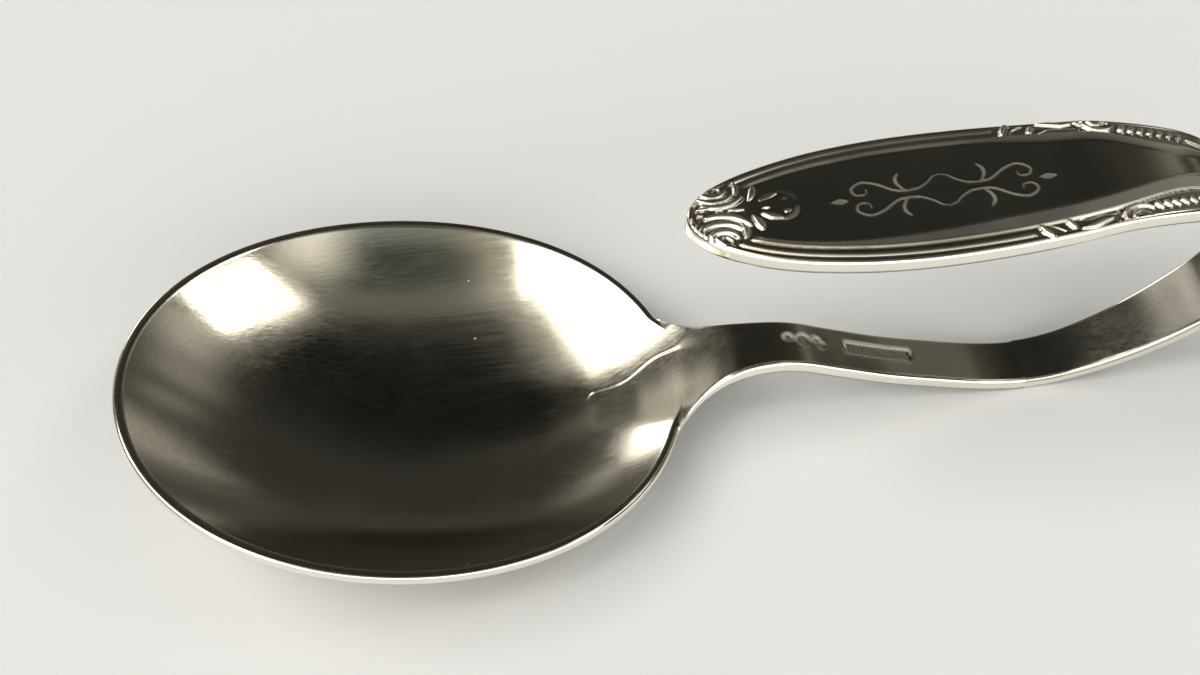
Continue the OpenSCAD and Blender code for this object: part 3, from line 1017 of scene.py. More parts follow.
@dataclass
class Shank(StrapPiece):
    """The slim stem, with two blank stamped places near its hump.

    Attributes:
        bar: run from the heel, across, half length and half width of the long blank place.
        bar_corner: radius of its corners.
        blots: runs from the heel, across and radii of the small blank places.
        depth: of their beds.
    """

    bar: tuple[float, float, float, float] = (16.3, 0.15, 3.0, 0.66)
    bar_corner: float = 0.3
    blots: tuple[Triple, ...] = (
        (8.6, 0.42, 0.4), (9.75, 0.2, 0.66), (10.85, 0.42, 0.34), (11.25, -0.1, 0.4),
    )
    depth: float = 0.05

    def gap(self, places: Places) -> Array:
        """Distance outside the nearest blank place, negative inside one."""
        from_heel = self.strap.heel_run - places.run
        middle, y, length, width = self.bar
        x_out = np.maximum(np.abs(from_heel - middle) - length + self.bar_corner, 0)
        y_out = np.maximum(np.abs(places.across - y) - width + self.bar_corner, 0)
        gap = np.hypot(x_out, y_out) - self.bar_corner
        for x, y, radius in self.blots:
            gap = np.minimum(gap, np.hypot(from_heel - x, places.across - y) - radius)
        return gap

    def waves(self, places: Places, first: Pair, second: Pair) -> Array:
        """The product of two sine waves that run slanting to each other, for a matted bed."""
        along, across = self.strap.heel_run - places.run, places.across
        one = np.sin(first[0] * along + first[1] * across)
        return one * np.sin(second[0] * across - second[1] * along)

    def rim(self, places: Places) -> Array:
        """1 on the middle of the stamps' raised rims, which are stronger on their far side."""
        far = rise(places.across, -0.15, 0.6)
        return (0.2 + 0.8 * far) * ease(1.15 - np.abs(self.gap(places) + 0.06) / 0.26)

    def relief(self, places: Places) -> Array:
        """Blank stamps: shallow matted beds inside low rims."""
        inside = 1 - rise(self.gap(places), -0.2, 0.16)
        bed = 0.35 * self.waves(places, (15, 4), (17, 5)) - 1
        return self.depth * (bed * inside + 1.4 * self.rim(places))

    def wear(self, height: Array, places: Places) -> Array:
        """Brighter along the edges and on the rims of the stamps."""
        return super().wear(height, places) + 0.5 * self.rim(places)

    def matt(self, height: Array, places: Places) -> Array:
        """Matt rims, and beds that are matt in spots."""
        spots = 0.35 + 0.3 * self.waves(places, (11, 3), (13, 4))
        return np.maximum(self.rim(places), spots * ease(-height / self.depth))


@dataclass
class Neck(StrapPiece):
    """The flare from the hump down to the rim, whose last ring lies along the rim.

    Attributes:
        join: how it meets the bowl.
        rim_wear: how much more its top is worn near the rim.
    """

    join: "Join | None" = None
    rim_wear: float = 0.12

    def skin(self) -> Skin:
        """The strap's rings, drawn towards the rim's line as the square of their nearness to it.

        The top also leaves its own height for the bowl's inside, run on past the rim.

        Returns:
            The skin.
        """
        plain = super().skin()
        strap, bowl = self.strap, self.strap.bowl
        heel = plain.rings[-1]
        top = 2 * self.half_steps + 1
        side = self.side_steps
        half = strap.half_width(np.array([strap.heel_run]))[0]
        angle = math.radians(strap.sizes.neck_angle) * np.clip(heel[:, 1] / half, -1, 1)
        line = bowl.rim(angle, 0.0)
        line[top + side : -side, 2] -= bowl.lip_edge
        near = 1 - (strap.x_of(self.runs) - bowl.heel_x) / (strap.x_of(self.runs[0]) - bowl.heel_x)
        near = near[:, None, None] ** 2
        rings = plain.rings + near * (line - heel)
        x, y = rings[:, :top, 0], rings[:, :top, 1]
        own = self.join.own_share(x, y)
        rings[:, :top, 2] = plain.rings[:, :top, 2] * own + self.join.surface(x, y) * (1 - own)
        z = rings[..., 2]
        z[:, top : top + side] = self.down_side(z[:, top - 1, None], z[:, top + side, None])
        z[:, -side:] = self.down_side(z[:, -side - 1, None], z[:, :1])
        wear, matt = plain.wear.copy(), plain.matt.copy()
        rubbed = self.join.rubbed(x, y)
        # Worn more near the rim, with painted shade on the tongue's far flank.
        wear[:, :top] += self.rim_wear * (1 - own) - self.join.flank_painted_shade * rubbed
        matt[:, :top] += self.join.flank_matt * rubbed
        marks = [np.concatenate([mark, mark[-1:]]) for mark in (wear, matt)]
        return Skin(np.concatenate([rings, self.tucked(rings[-1:])]), *marks)

    def tucked(self, ring: Array) -> Array:
        """The end ring pressed flat inside the bowl's metal, so that the end cap stays hidden."""
        flat = ring.copy()
        top = 2 * self.half_steps + 1
        under = slice(top + self.side_steps, -self.side_steps)
        y = ring[0, :, 1]
        over = np.interp(y, y[:top], ring[0, :top, 2])
        below = np.interp(y, ring[0, under, 1][::-1], ring[0, under, 2][::-1])
        flat[0, :, 2] = (over + below) / 2 + 0.02 * np.sign(ring[0, :, 2] - (over + below) / 2)
        return flat


@dataclass(frozen=True)
class Join:
    """How the bowl's inside runs up into the neck, and the tongue that lies on it.

    Attributes:
        bowl: the bowl's sizes.
        near_lip, far_lip: degrees from the heel up to which the neck has taken the lip's
            place, and degrees over which the lip becomes whole again.
        round_from, round_fade: degrees from the heel where the lip's outer edge starts to be
            rounded, and over which it is wholly so.
        lip_round: radius of that edge.
        ramp, beyond, beyond_fall: slope of the inside run on across the lip, its slope past
            the rim, and how much of that is lost per millimetre.
        corner: how soft the corner between wall and lip is.
        merge: distance past the rim where the neck's top is wholly its own.
        tongue_from, fade: x of the tongue's point, and how far past the rim it fades.
        tongue_height, tongue_half: its full height and half width.
        tongue_swells: each a share of the half width, and the share of the way where it starts,
            with the share it takes.
        tongue_dip: middle and width of its worn dip, as shares of the way, and how deep it is.
        far_flank, near_flank: widths of its sharp and its soft flank.
        flank_painted_shade, flank_matt: how much painted shade darkens the tongue's far flank, and how
            much more matt it is.
    """

    bowl: BowlSizes
    near_lip: Pair = (9.0, 9.0)
    far_lip: Pair = (11.0, 9.0)
    round_from: float = 16.5
    round_fade: float = 2.5
    lip_round: float = 0.26
    ramp: float = 0.525
    beyond: float = 0.53
    beyond_fall: float = 0.012
    corner: float = 0.03
    merge: float = 6.0
    fade: float = 4.0
    tongue_from: float = 7.7
    tongue_height: float = 0.14
    tongue_half: float = 1.9
    tongue_swells: tuple[Triple, ...] = ((0.34, 0, 0.12), (0.66, 0.34, 0.52))
    tongue_dip: Triple = (0.5, 0.14, 0.4)
    far_flank: float = 0.36
    near_flank: float = 3.0
    flank_painted_shade: float = 0.06
    flank_matt: float = 0.3

    def neck_share(self, angle: Array) -> Array:
        """1 where the neck has taken the lip's place, 0 where the lip is whole."""
        degrees = np.degrees(angle)
        starts = np.where(degrees < 0, self.near_lip[0], self.far_lip[0])
        fades = np.where(degrees < 0, self.near_lip[1], self.far_lip[1])
        return 1 - rise(np.abs(degrees), starts, fades)

    def lip_rise(self, angle: Array, inset: Array) -> Array:
        """Height over the whole lip's level, across the lip.

        It is the lower of two heights, met in a soft corner: the wall run on outwards, and the
        lip's flat top, which rises with the neck's share until the wall passes under it.

        Args:
            angle: radians round the rim.
            inset: distance in from the rim.

        Returns:
            The height.
        """
        most = self.bowl.lip * self.ramp - self.bowl.lip_bevel
        wall = most - inset * self.ramp
        flat = self.neck_share(angle) * (most + 0.08)
        return (wall + flat - np.hypot(wall - flat, self.corner)) / 2

    def edge_share(self, angle: Array) -> Array:
        """1 where the lip's outer edge is rounded, 0 where the neck grows out of it."""
        return rise(np.abs(np.degrees(angle)), self.round_from, self.round_fade)

    def far_step(self, x: Array, y: Array) -> tuple[Array, Array, Array]:
        """The tongue's half width, its full height, and the share of it that its far flank leaves.

        Its height grows from the point to the rim, with a worn dip half way, and its flank
        spreads past the rim.

        Args:
            x: places along the bowl.
            y: places across it.

        Returns:
            The three of them.
        """
        share = np.clip((x - self.tongue_from) / (self.bowl.heel_x - self.tongue_from), 0, 1)
        swells = (part * rise(share, start, span) for part, start, span in self.tongue_swells)
        half = self.tongue_half * sum(swells)
        height = self.tongue_height * (0.5 * rise(share, 0, 0.15) + 0.5 * share)
        height = height * (1 - rise(x, self.bowl.heel_x, self.fade))
        middle, width, worn = self.tongue_dip
        low = 1 - worn * np.exp(-(((share - middle) / width) ** 2))
        down = np.clip((y - half) / (self.far_flank + 2 * self.past_rim(x)) + 0.4, 0, 1)
        return half, height * low, 1 - ease(down**0.85)

    def past_rim(self, x: Array) -> Array:
        """0 inside the bowl to 1 from a little past the heel."""
        return rise(x, self.bowl.heel_x - 0.4, 2)

    def tongue(self, x: Array, y: Array) -> Array:
        """Height of the tongue over the wall.

        Its half width stays small, then swells. Its far flank is a sharp step and its near one
        a long soft one, as the old spoon is worn. Past the rim it fades into the neck.

        Args:
            x: places along the bowl.
            y: places across it.

        Returns:
            The height.
        """
        half, height, far_step = self.far_step(x, y)
        return height * far_step * (1 - rise(-y, half - self.far_flank / 2, self.near_flank))

    def rubbed(self, x: Array, y: Array) -> Array:
        """0 to 1: where the tongue's far flank is given painted shade and a matt finish, most two
        thirds up.
        """
        half, height, far_step = self.far_step(x, y)
        peak = 6.75 * far_step**2 * (1 - far_step)
        return peak * ease(height / 0.06) * (1 - self.past_rim(x))

    def place(self, x: Array, y: Array) -> tuple[Array, Array]:
        """Angle and distance outside the rim of places beyond it, found in a few rounds."""
        beyond = 0 * x
        bowl = self.bowl
        middle = bowl.length / 2 - bowl.rest_run
        full = 1 + bowl.end_fullness + bowl.egg
        for _ in range(4):
            angle = np.arcsin(np.clip(y / ((bowl.width / 2 + beyond) * full), -0.9, 0.9))
            beyond = (x - middle) / np.cos(angle) - bowl.length / 2
        return angle, np.maximum(beyond, 0)

    def own_share(self, x: Array, y: Array) -> Array:
        """0 at the rim to 1 where the neck's top is wholly its own."""
        return ease(self.place(x, y)[1] / self.merge)

    def surface(self, x: Array, y: Array) -> Array:
        """Height of the bowl's inside, run on past the rim in a slope that falls off slowly.

        Args:
            x: places along the spoon.
            y: places across it.

        Returns:
            The height over the table.
        """
        angle, beyond = self.place(x, y)
        climb = self.lip_rise(angle, 0.0) + self.beyond * beyond - self.beyond_fall * beyond**2
        top = self.bowl.rim(angle, 0.0)[..., 2]
        return top + climb - self.edge_share(angle) * self.lip_round + self.tongue(x, y)


@dataclass
class Bowl(Part):
    """The oval bowl: inner wall, lip, edge and outer wall, with the tongue on the wall at its heel.

    Attributes:
        sizes: the bowl's sizes.
        join: how its inside runs up into the neck.
        fine_angle: degrees on each side of the heel with closer places.
        fine_steps, coarse_steps: steps in each half of the fine and the coarse stretch.
        flat_places: places across the flat lip.
        inner_wear, outer_wear: wear of the two walls.
        near_rim_painted_shade: how much painted shade darkens the inside towards the near rim.
        flat_wear: wear of the flat lip, and how much more there is where the neck starts.
    """

    sizes: BowlSizes
    join: Join
    fine_angle: float = 24.0
    fine_steps: int = 70
    coarse_steps: int = 100
    flat_places: int = 9
    inner_wear: float = 0.5
    outer_wear: float = 0.55
    near_rim_painted_shade: float = 0.15
    flat_wear: Pair = (0.38, 0.12)

    def angles(self) -> Array:
        """Angles round the rim, close together near the heel where the tongue is."""
        fine = np.linspace(-self.fine_angle, self.fine_angle, 2 * self.fine_steps + 1)
        coarse = np.linspace(self.fine_angle, 360 - self.fine_angle, 2 * self.coarse_steps + 1)
        return np.radians(np.concatenate([fine, coarse[1:-1]]))

    def inside(self, angle: Array) -> Array:
        """The inner wall with the tongue over it, from near the resting point out to the lip."""
        share = np.concatenate([np.linspace(0.02, 0.45, 36)[:-1], np.linspace(0.45, 1, 76)])
        point = self.sizes.inner_wall(angle[None, :], share[:, None])
        point[..., 2] += self.join.tongue(point[..., 0], point[..., 1])
        return point

    def lip(self, angle: Array) -> Array:
        """The flat lip, its rounded edges and the edge face.

        Each place is an inset from the rim and a drop below the lip's top. Where the neck
        takes the lip's place, the lip's top is the join's instead, and its edge isn't rounded.

        Args:
            angle: radians round the rim.

        Returns:
            Points shaped places x angles x 3.
        """
        size, turn, edge_round = self.sizes, np.radians(np.linspace(0, 90, 8)), self.join.lip_round
        flat = np.linspace(size.lip - 0.04, edge_round, self.flat_places)
        outer = edge_round * (1 - np.sin(turn))[1:]
        inset = np.concatenate([flat, outer, [0, 0, 0.02, 0.07]])[:, None]
        drop = np.concatenate([0 * flat, edge_round * (1 - np.cos(turn))[1:],
            [0.4, size.lip_edge - 0.14, size.lip_edge - 0.05, size.lip_edge - 0.01]])[:, None]
        point = size.rim(angle[None, :], inset)
        rounded = self.join.edge_share(angle)[None, :]
        top = self.join.lip_rise(angle[None, :], inset) - rounded * drop
        top = top + self.join.tongue(point[..., 0], point[..., 1])
        point[..., 2] += np.where(drop < edge_round + 1e-6, top, -drop)
        return point

    def outside(self, angle: Array) -> Array:
        """The outer wall, from the lip's lower edge down to the worn flat."""
        size = self.sizes
        share = np.concatenate([np.linspace(0.995, size.wear_share, 54), [size.wear_share * 0.5, 0.01]])
        point = size.outer_wall(angle[None, :], share[:, None])
        point[-2:, :, 2] = 0
        return point

    def skin(self) -> Skin:
        """All rings together, with bright edges and a band of painted shade inside the near rim."""
        angle = self.angles()
        inside, lip, outside = self.inside(angle), self.lip(angle), self.outside(angle)
        y = inside[..., 1]
        # Painted shade: a darker band inside the near rim.
        share = np.linspace(0, 1, inside.shape[0])[:, None] ** 0.9
        near = rise(share, 0.55, 0.4) * rise(-y / (self.sizes.width / 2), -0.35, 0.8)
        flat = self.flat_wear[0] + self.flat_wear[1] * self.join.neck_share(angle)[None, :]
        edge = np.concatenate([np.linspace(0.6, 1, 7), [1, 1, 0.9, 0.8]])[:, None]
        edge = 0.5 + (edge - 0.5) * self.join.edge_share(angle)[None, :]
        lip_wear = np.concatenate([flat + np.zeros((self.flat_places, 1)), edge])
        outer = np.full(outside.shape[:2], self.outer_wear)
        wear = np.concatenate([self.inner_wear - self.near_rim_painted_shade * near, lip_wear, outer])
        rubbed = [self.join.rubbed(part[..., 0], part[..., 1]) for part in (inside, lip)]
        rubbed = np.concatenate([*rubbed, 0 * outer])
        # Painted shade on the tongue's far flank.
        wear = wear - self.join.flank_painted_shade * rubbed
        matt = self.join.flank_matt * rubbed
        return Skin(np.concatenate([inside, lip, outside]), wear, matt, (True, True))


# Shader building


class Wire:
    """A socket of a node, on which sums are written as Python expressions."""

    def __init__(self, graph: "Graph", socket: bpy.types.NodeSocket) -> None:
        """Keeps the socket and the graph that new nodes go into."""
        self.graph = graph
        self.socket = socket

    def __add__(self, other: Any) -> "Wire":
        """Sum."""
        return self.graph.maths("ADD", self, other)

    def __sub__(self, other: Any) -> "Wire":
        """Difference."""
        return self.graph.maths("SUBTRACT", self, other)

    def __rsub__(self, other: Any) -> "Wire":
        """Difference from a number."""
        return self.graph.maths("SUBTRACT", other, self)

    def __mul__(self, other: Any) -> "Wire":
        """Product."""
        return self.graph.maths("MULTIPLY", self, other)

    def __truediv__(self, other: Any) -> "Wire":
        """Quotient."""
        return self.graph.maths("DIVIDE", self, other)

    __radd__ = __add__

    def between(self, low: float, high: float) -> "Wire":
        """0 below low and 1 above high, with a smooth change between them."""
        return self.graph.node("ShaderNodeMapRange", {"interpolation_type": "SMOOTHSTEP"},
            {"Value": self, "From Min": low, "From Max": high})


class Graph:
    """A material's nodes, made by one method."""

    def __init__(self, tree: bpy.types.NodeTree) -> None:
        """Starts on an empty tree."""
        self.tree = tree
        tree.nodes.clear()

    def node(
        self, kind: str, settings: dict[str, Any], inputs: dict[Any, Any], output: Any = 0
    ) -> Wire:
        """Adds a node.

        Args:
            kind: the node's type.
            settings: properties that are set first; stops are a ramp's places and colours.
            inputs: values or wires of its sockets, by name or number.
            output: the socket to return, by name or number.

        Returns:
            The wire from that output.
        """
        made = self.tree.nodes.new(kind)
        for key, value in settings.items():
            if key == "stops":
                for stop, (place, colour) in zip(self.stops(made, len(value)), value):
                    stop.position = place
                    stop.color = (*colour, 1)
            else:
                setattr(made, key, value)
        for key, value in inputs.items():
            if isinstance(value, Wire):
                self.tree.links.new(value.socket, made.inputs[key])
            else:
                made.inputs[key].default_value = value
        return Wire(self, made.outputs[output]) if made.outputs else Wire(self, None)

    @staticmethod
    def stops(ramp: bpy.types.Node, count: int) -> list[bpy.types.ColorRampElement]:
        """The ramp's stops, with as many added as are needed."""
        elements = ramp.color_ramp.elements
        for _ in range(count - len(elements)):
            elements.new(0.5)
        return list(elements)

    def maths(self, operation: str, *values: Any) -> Wire:
        """A Math node on values or wires."""
        return self.node("ShaderNodeMath", {"operation": operation}, dict(enumerate(values)))

    def colour_mix(self, share: Any, low: Any, high: Any) -> Wire:
        """A colour between two, by a share."""
        low = low if isinstance(low, Wire) else (*low, 1)
        high = high if isinstance(high, Wire) else (*high, 1)
        return self.node("ShaderNodeMix", {"data_type": "RGBA"}, {0: share, 6: low, 7: high}, 2)

    def noise(self, per_metre: Triple, detail: float, distortion: float = 0.0) -> Wire:
        """Noise on Object coordinates, with so many features a metre along each axis."""
        place = self.node("ShaderNodeTexCoord", {}, {}, "Object")
        place = self.node("ShaderNodeMapping", {}, {"Vector": place, "Scale": per_metre})
        return self.node("ShaderNodeTexNoise", {},
            {"Vector": place, "Scale": 1.0, "Detail": detail, "Distortion": distortion})

    def nicks(self, per_metre: float, radius: float) -> Wire:
        """1 in a few small round spots: near the points of some of the cells of a cell pattern."""
        place = self.node("ShaderNodeTexCoord", {}, {}, "Object")
        cells = {"Vector": place, "Scale": per_metre, "Randomness": 1.0}
        gap, pick = (self.node("ShaderNodeTexVoronoi", {"feature": "F1"}, cells, output)
            for output in ("Distance", "Color"))
        pick = self.node("ShaderNodeSeparateColor", {}, {"Color": pick}, "Red")
        return gap.between(radius, radius * 0.4) * pick.between(0.93, 0.94)


@dataclass(frozen=True)
class Silver:
    """Old silver: dark where it is tarnished, bright where it is rubbed, with fine scratches.

    Attributes:
        name: the material's name.
        tarnish, plain, rubbed: its colour at wear 0, one half and 1.
        roughness: of plain silver.
        tarnish_rough, nick_rough: how much rougher tarnish and nicks are.
        film: share of the dull film on plain silver, and how much more there is on tarnish.
        clouds, grain, streak: features a metre along x, y and z of its cloudy wear, its fine
            grain and its scratches.
        cloud_share, grain_share: how far they change the wear.
        cloud_rough, streak_rough: how far they change the roughness.
        streak_depth, grain_depth, nick_depth: how far they change the bump's height.
        nicks: cells a metre, a nick's radius as a share of a cell, and how plain it is.
        matt_rough: roughness where it is matt.
        bump: the bump's strength and its distance in metres.
    """

    name: str
    tarnish: Colour = (0.10, 0.087, 0.055)
    plain: Colour = (0.5, 0.463, 0.365)
    rubbed: Colour = (0.93, 0.895, 0.8)
    roughness: float = 0.2
    tarnish_rough: float = 0.16
    nick_rough: float = 0.3
    film: Pair = (0.0, 0.08)
    clouds: Triple = (150, 210, 210)
    grain: Triple = (2600, 2600, 2600)
    streak: Triple = (160, 4200, 4200)
    cloud_share: float = 0.16
    grain_share: float = 0.03
    cloud_rough: float = 0.2
    streak_rough: float = 0.14
    streak_depth: float = 0.4
    grain_depth: float = 0.1
    nick_depth: float = 0.8
    nicks: Triple = (560, 0.078, 0.55)
    matt_rough: float = 0.5
    bump: Pair = (0.35, 0.00002)

    def material(self) -> bpy.types.Material:
        """The material, made once under its name."""
        found = bpy.data.materials.get(self.name)
        if found:
            return found
        made = bpy.data.materials.new(self.name)
        made.use_nodes = True
        g = Graph(made.node_tree)
        wear = g.node("ShaderNodeAttribute", {"attribute_name": "wear"}, {}, "Fac")
        matt = g.node("ShaderNodeAttribute", {"attribute_name": "matt"}, {}, "Fac")
        clouds = g.noise(self.clouds, 4, 0.35)
        grain = g.noise(self.grain, 2)
        streaks = g.noise(self.streak, 3)
        nicks = g.nicks(*self.nicks[:2]) * self.nicks[2]
        worn = wear + (clouds - 0.5) * self.cloud_share + (grain - 0.5) * self.grain_share
        low = g.colour_mix(worn.between(0.0, 0.5), self.tarnish, self.plain)
        colour = g.colour_mix(worn.between(0.5, 1.0), low, self.rubbed)
        colour = g.colour_mix(nicks, colour, self.rubbed)
        rough = self.roughness + (clouds - 0.5) * self.cloud_rough
        rough = rough + (streaks - 0.5) * self.streak_rough
        rough = rough + (1 - worn.between(0.0, 0.45)) * self.tarnish_rough + nicks * self.nick_rough
        rough = rough + (self.matt_rough - rough) * matt
        film = (1 - worn.between(0.2, 0.5)) * self.film[1] + self.film[0]
        height = streaks * self.streak_depth + grain * self.grain_depth - nicks * self.nick_depth
        bump = g.node("ShaderNodeBump", {},
            {"Height": height, "Strength": self.bump[0], "Distance": self.bump[1]})
        shader = g.node("ShaderNodeBsdfPrincipled", {},
            {"Base Color": colour, "Roughness": rough, "Metallic": 1 - film, "Normal": bump})
        g.node("ShaderNodeOutputMaterial", {}, {"Surface": shader})
        return made


# Studio


@dataclass(frozen=True)
class PhotoCamera:
    """The camera that took the photograph, worked out from the spoon's outline.

    Attributes:
        elevation, azimuth, roll: in degrees; azimuth 0 looks along +Y.
        focal_px, frame_px: focal length and width of the frame, in its pixels.
        sensor: width of the film, in millimetres.
        distance: from the aim point, in millimetres.
        aim: the point in the middle of the frame.
    """

    elevation: float = 51.9911
    azimuth: float = -6.8367
    roll: float = -0.7937
    focal_px: float = 1409.87
    frame_px: float = 1200
    sensor: float = 36
    distance: float = 114.410
    aim: Triple = (9.992, 7.576, 0.0)

    def build(self) -> bpy.types.Object:
        """Makes the camera and hands it to the scene."""
        data = bpy.data.cameras.new("photo_camera")
        data.sensor_width = self.sensor
        data.lens = self.focal_px / self.frame_px * self.sensor
        data.clip_start = 0.001
        data.clip_end = 100
        camera = placed("photo_camera", data)
        e, a, r = (math.radians(v) for v in (self.elevation, self.azimuth, self.roll))
        back = Vector((math.sin(a) * math.cos(e), -math.cos(a) * math.cos(e), math.sin(e)))
        level = Vector((math.cos(a), math.sin(a), 0))
        up = back.cross(level)
        right = math.cos(r) * level + math.sin(r) * up
        up = -math.sin(r) * level + math.cos(r) * up
        place = (Vector(self.aim) + back * self.distance) * MM
        camera.matrix_world = Matrix((
            (right.x, up.x, back.x, place.x),
            (right.y, up.y, back.y, place.y),
            (right.z, up.z, back.z, place.z),
            (0, 0, 0, 1),
        ))
        bpy.context.scene.camera = camera
        return camera


def area_lamp(
    name: str, size: Pair, level: float, place: Matrix, turn: float, tint: Colour = (1.0, 1.0, 1.0)
) -> bpy.types.Object:
    """Makes a rectangular lamp that the camera doesn't see.

    Args:
        name: the lamp's name.
        size: its width and height in metres.
        level: its brightness, where 1 is white.
        place: where it is and which way it faces; it shines along its own -Z.
        turn: degrees it is turned about that line.
        tint: its colour.

    Returns:
        The lamp.
    """
    data = bpy.data.lights.new(name, "AREA")
    data.shape = "RECTANGLE"
    data.size, data.size_y = size
    data.energy = WHITE_WATTS * level * size[0] * size[1]
    data.color = tint
    lamp = placed(name, data)
    lamp.matrix_world = place @ Matrix.Rotation(math.radians(turn), 4, "Z")
    lamp.visible_camera = False
    return lamp


@dataclass(frozen=True)
class Panel:
    """A flat lamp overhead that shines straight down.

    Attributes:
        name: the lamp's name.
        middle: where it is, as shares of its height over the spoon, along x and y.
        size: its width and length, as such shares too.
        level: its brightness, where 1 is white.
        turn: degrees it is turned, counterclockwise from above.
        over: its height over the spoon, in metres.
    """

    name: str
    middle: Pair
    size: Pair
    level: float
    turn: float = 0.0
    over: float = 4.0

    def build(self, aim: Vector) -> bpy.types.Object:
        """Makes the lamp.

        Args:
            aim: the point the shares are counted from, in metres.

        Returns:
            The lamp.
        """
        size = (self.over * self.size[0], self.over * self.size[1])
        place = Matrix.Translation(aim + Vector((*self.middle, 1)) * self.over)
        return area_lamp(self.name, size, self.level, place, self.turn, WARM_WHITE)


@dataclass(frozen=True)
class SoftBox:
    """A flat lamp that faces the spoon.

    Attributes:
        name: the lamp's name.
        azimuth: degrees from +Y towards +X.
        elevation: degrees over the floor.
        wide, high: its size as seen, in degrees.
        level: its brightness, where 1 is white.
        roll: degrees it is turned about the line to the spoon.
        distance: from the spoon, in metres.
    """

    name: str
    azimuth: float
    elevation: float
    wide: float
    high: float
    level: float
    roll: float = 0.0
    distance: float = 4.0

    def build(self, aim: Vector) -> bpy.types.Object:
        """Makes the lamp, turned to the aim point.

        Args:
            aim: the point it faces, in metres.

        Returns:
            The lamp.
        """
        width = 2 * self.distance * math.tan(math.radians(self.wide / 2))
        height = 2 * self.distance * math.tan(math.radians(self.high / 2))
        a, e = math.radians(self.azimuth), math.radians(self.elevation)
        toward = Vector((math.sin(a) * math.cos(e), math.cos(a) * math.cos(e), math.sin(e)))
        facing = toward.to_track_quat("Z", "Y").to_matrix().to_4x4()
        place = Matrix.Translation(aim + toward * self.distance) @ facing
        return area_lamp(self.name, (width, height), self.level, place, self.roll)


@dataclass(frozen=True)
class Glow:
    """A patch of the room's brightness with soft edges.

    Attributes:
        middle: where it is, as shares of its height over the spoon, along x and y.
        size: its width and length, as such shares too.
        soft: how far its edges fade on either side of its outline.
        level: its brightness, where 1 is white.
        turn: degrees it is turned, counterclockwise from above.
        tint: its colour.
    """

    middle: Pair
    size: Pair
    soft: float
    level: float
    turn: float = 0.0
    tint: Colour = WARM_WHITE

    def colour(self, g: Graph, x: Wire, y: Wire) -> Wire:
        """Its colour in each direction.

        Args:
            g: the world's graph.
            x: the direction's run along x over its climb.
            y: the same along y.

        Returns:
            The colour, black outside the patch.
        """
        along, aside = math.cos(math.radians(self.turn)), math.sin(math.radians(self.turn))
        x, y = x - self.middle[0], y - self.middle[1]
        share = self.within(g, x * along + y * aside, self.size[0] / 2)
        share = share * self.within(g, y * along - x * aside, self.size[1] / 2) * self.level
        return g.node("ShaderNodeVectorMath", {"operation": "SCALE"}, {0: self.tint, "Scale": share})

    def within(self, g: Graph, gap: Wire, half: float) -> Wire:
        """1 inside a half width and 0 outside it, with a soft change."""
        return g.maths("ABSOLUTE", gap).between(half + self.soft, half - self.soft)


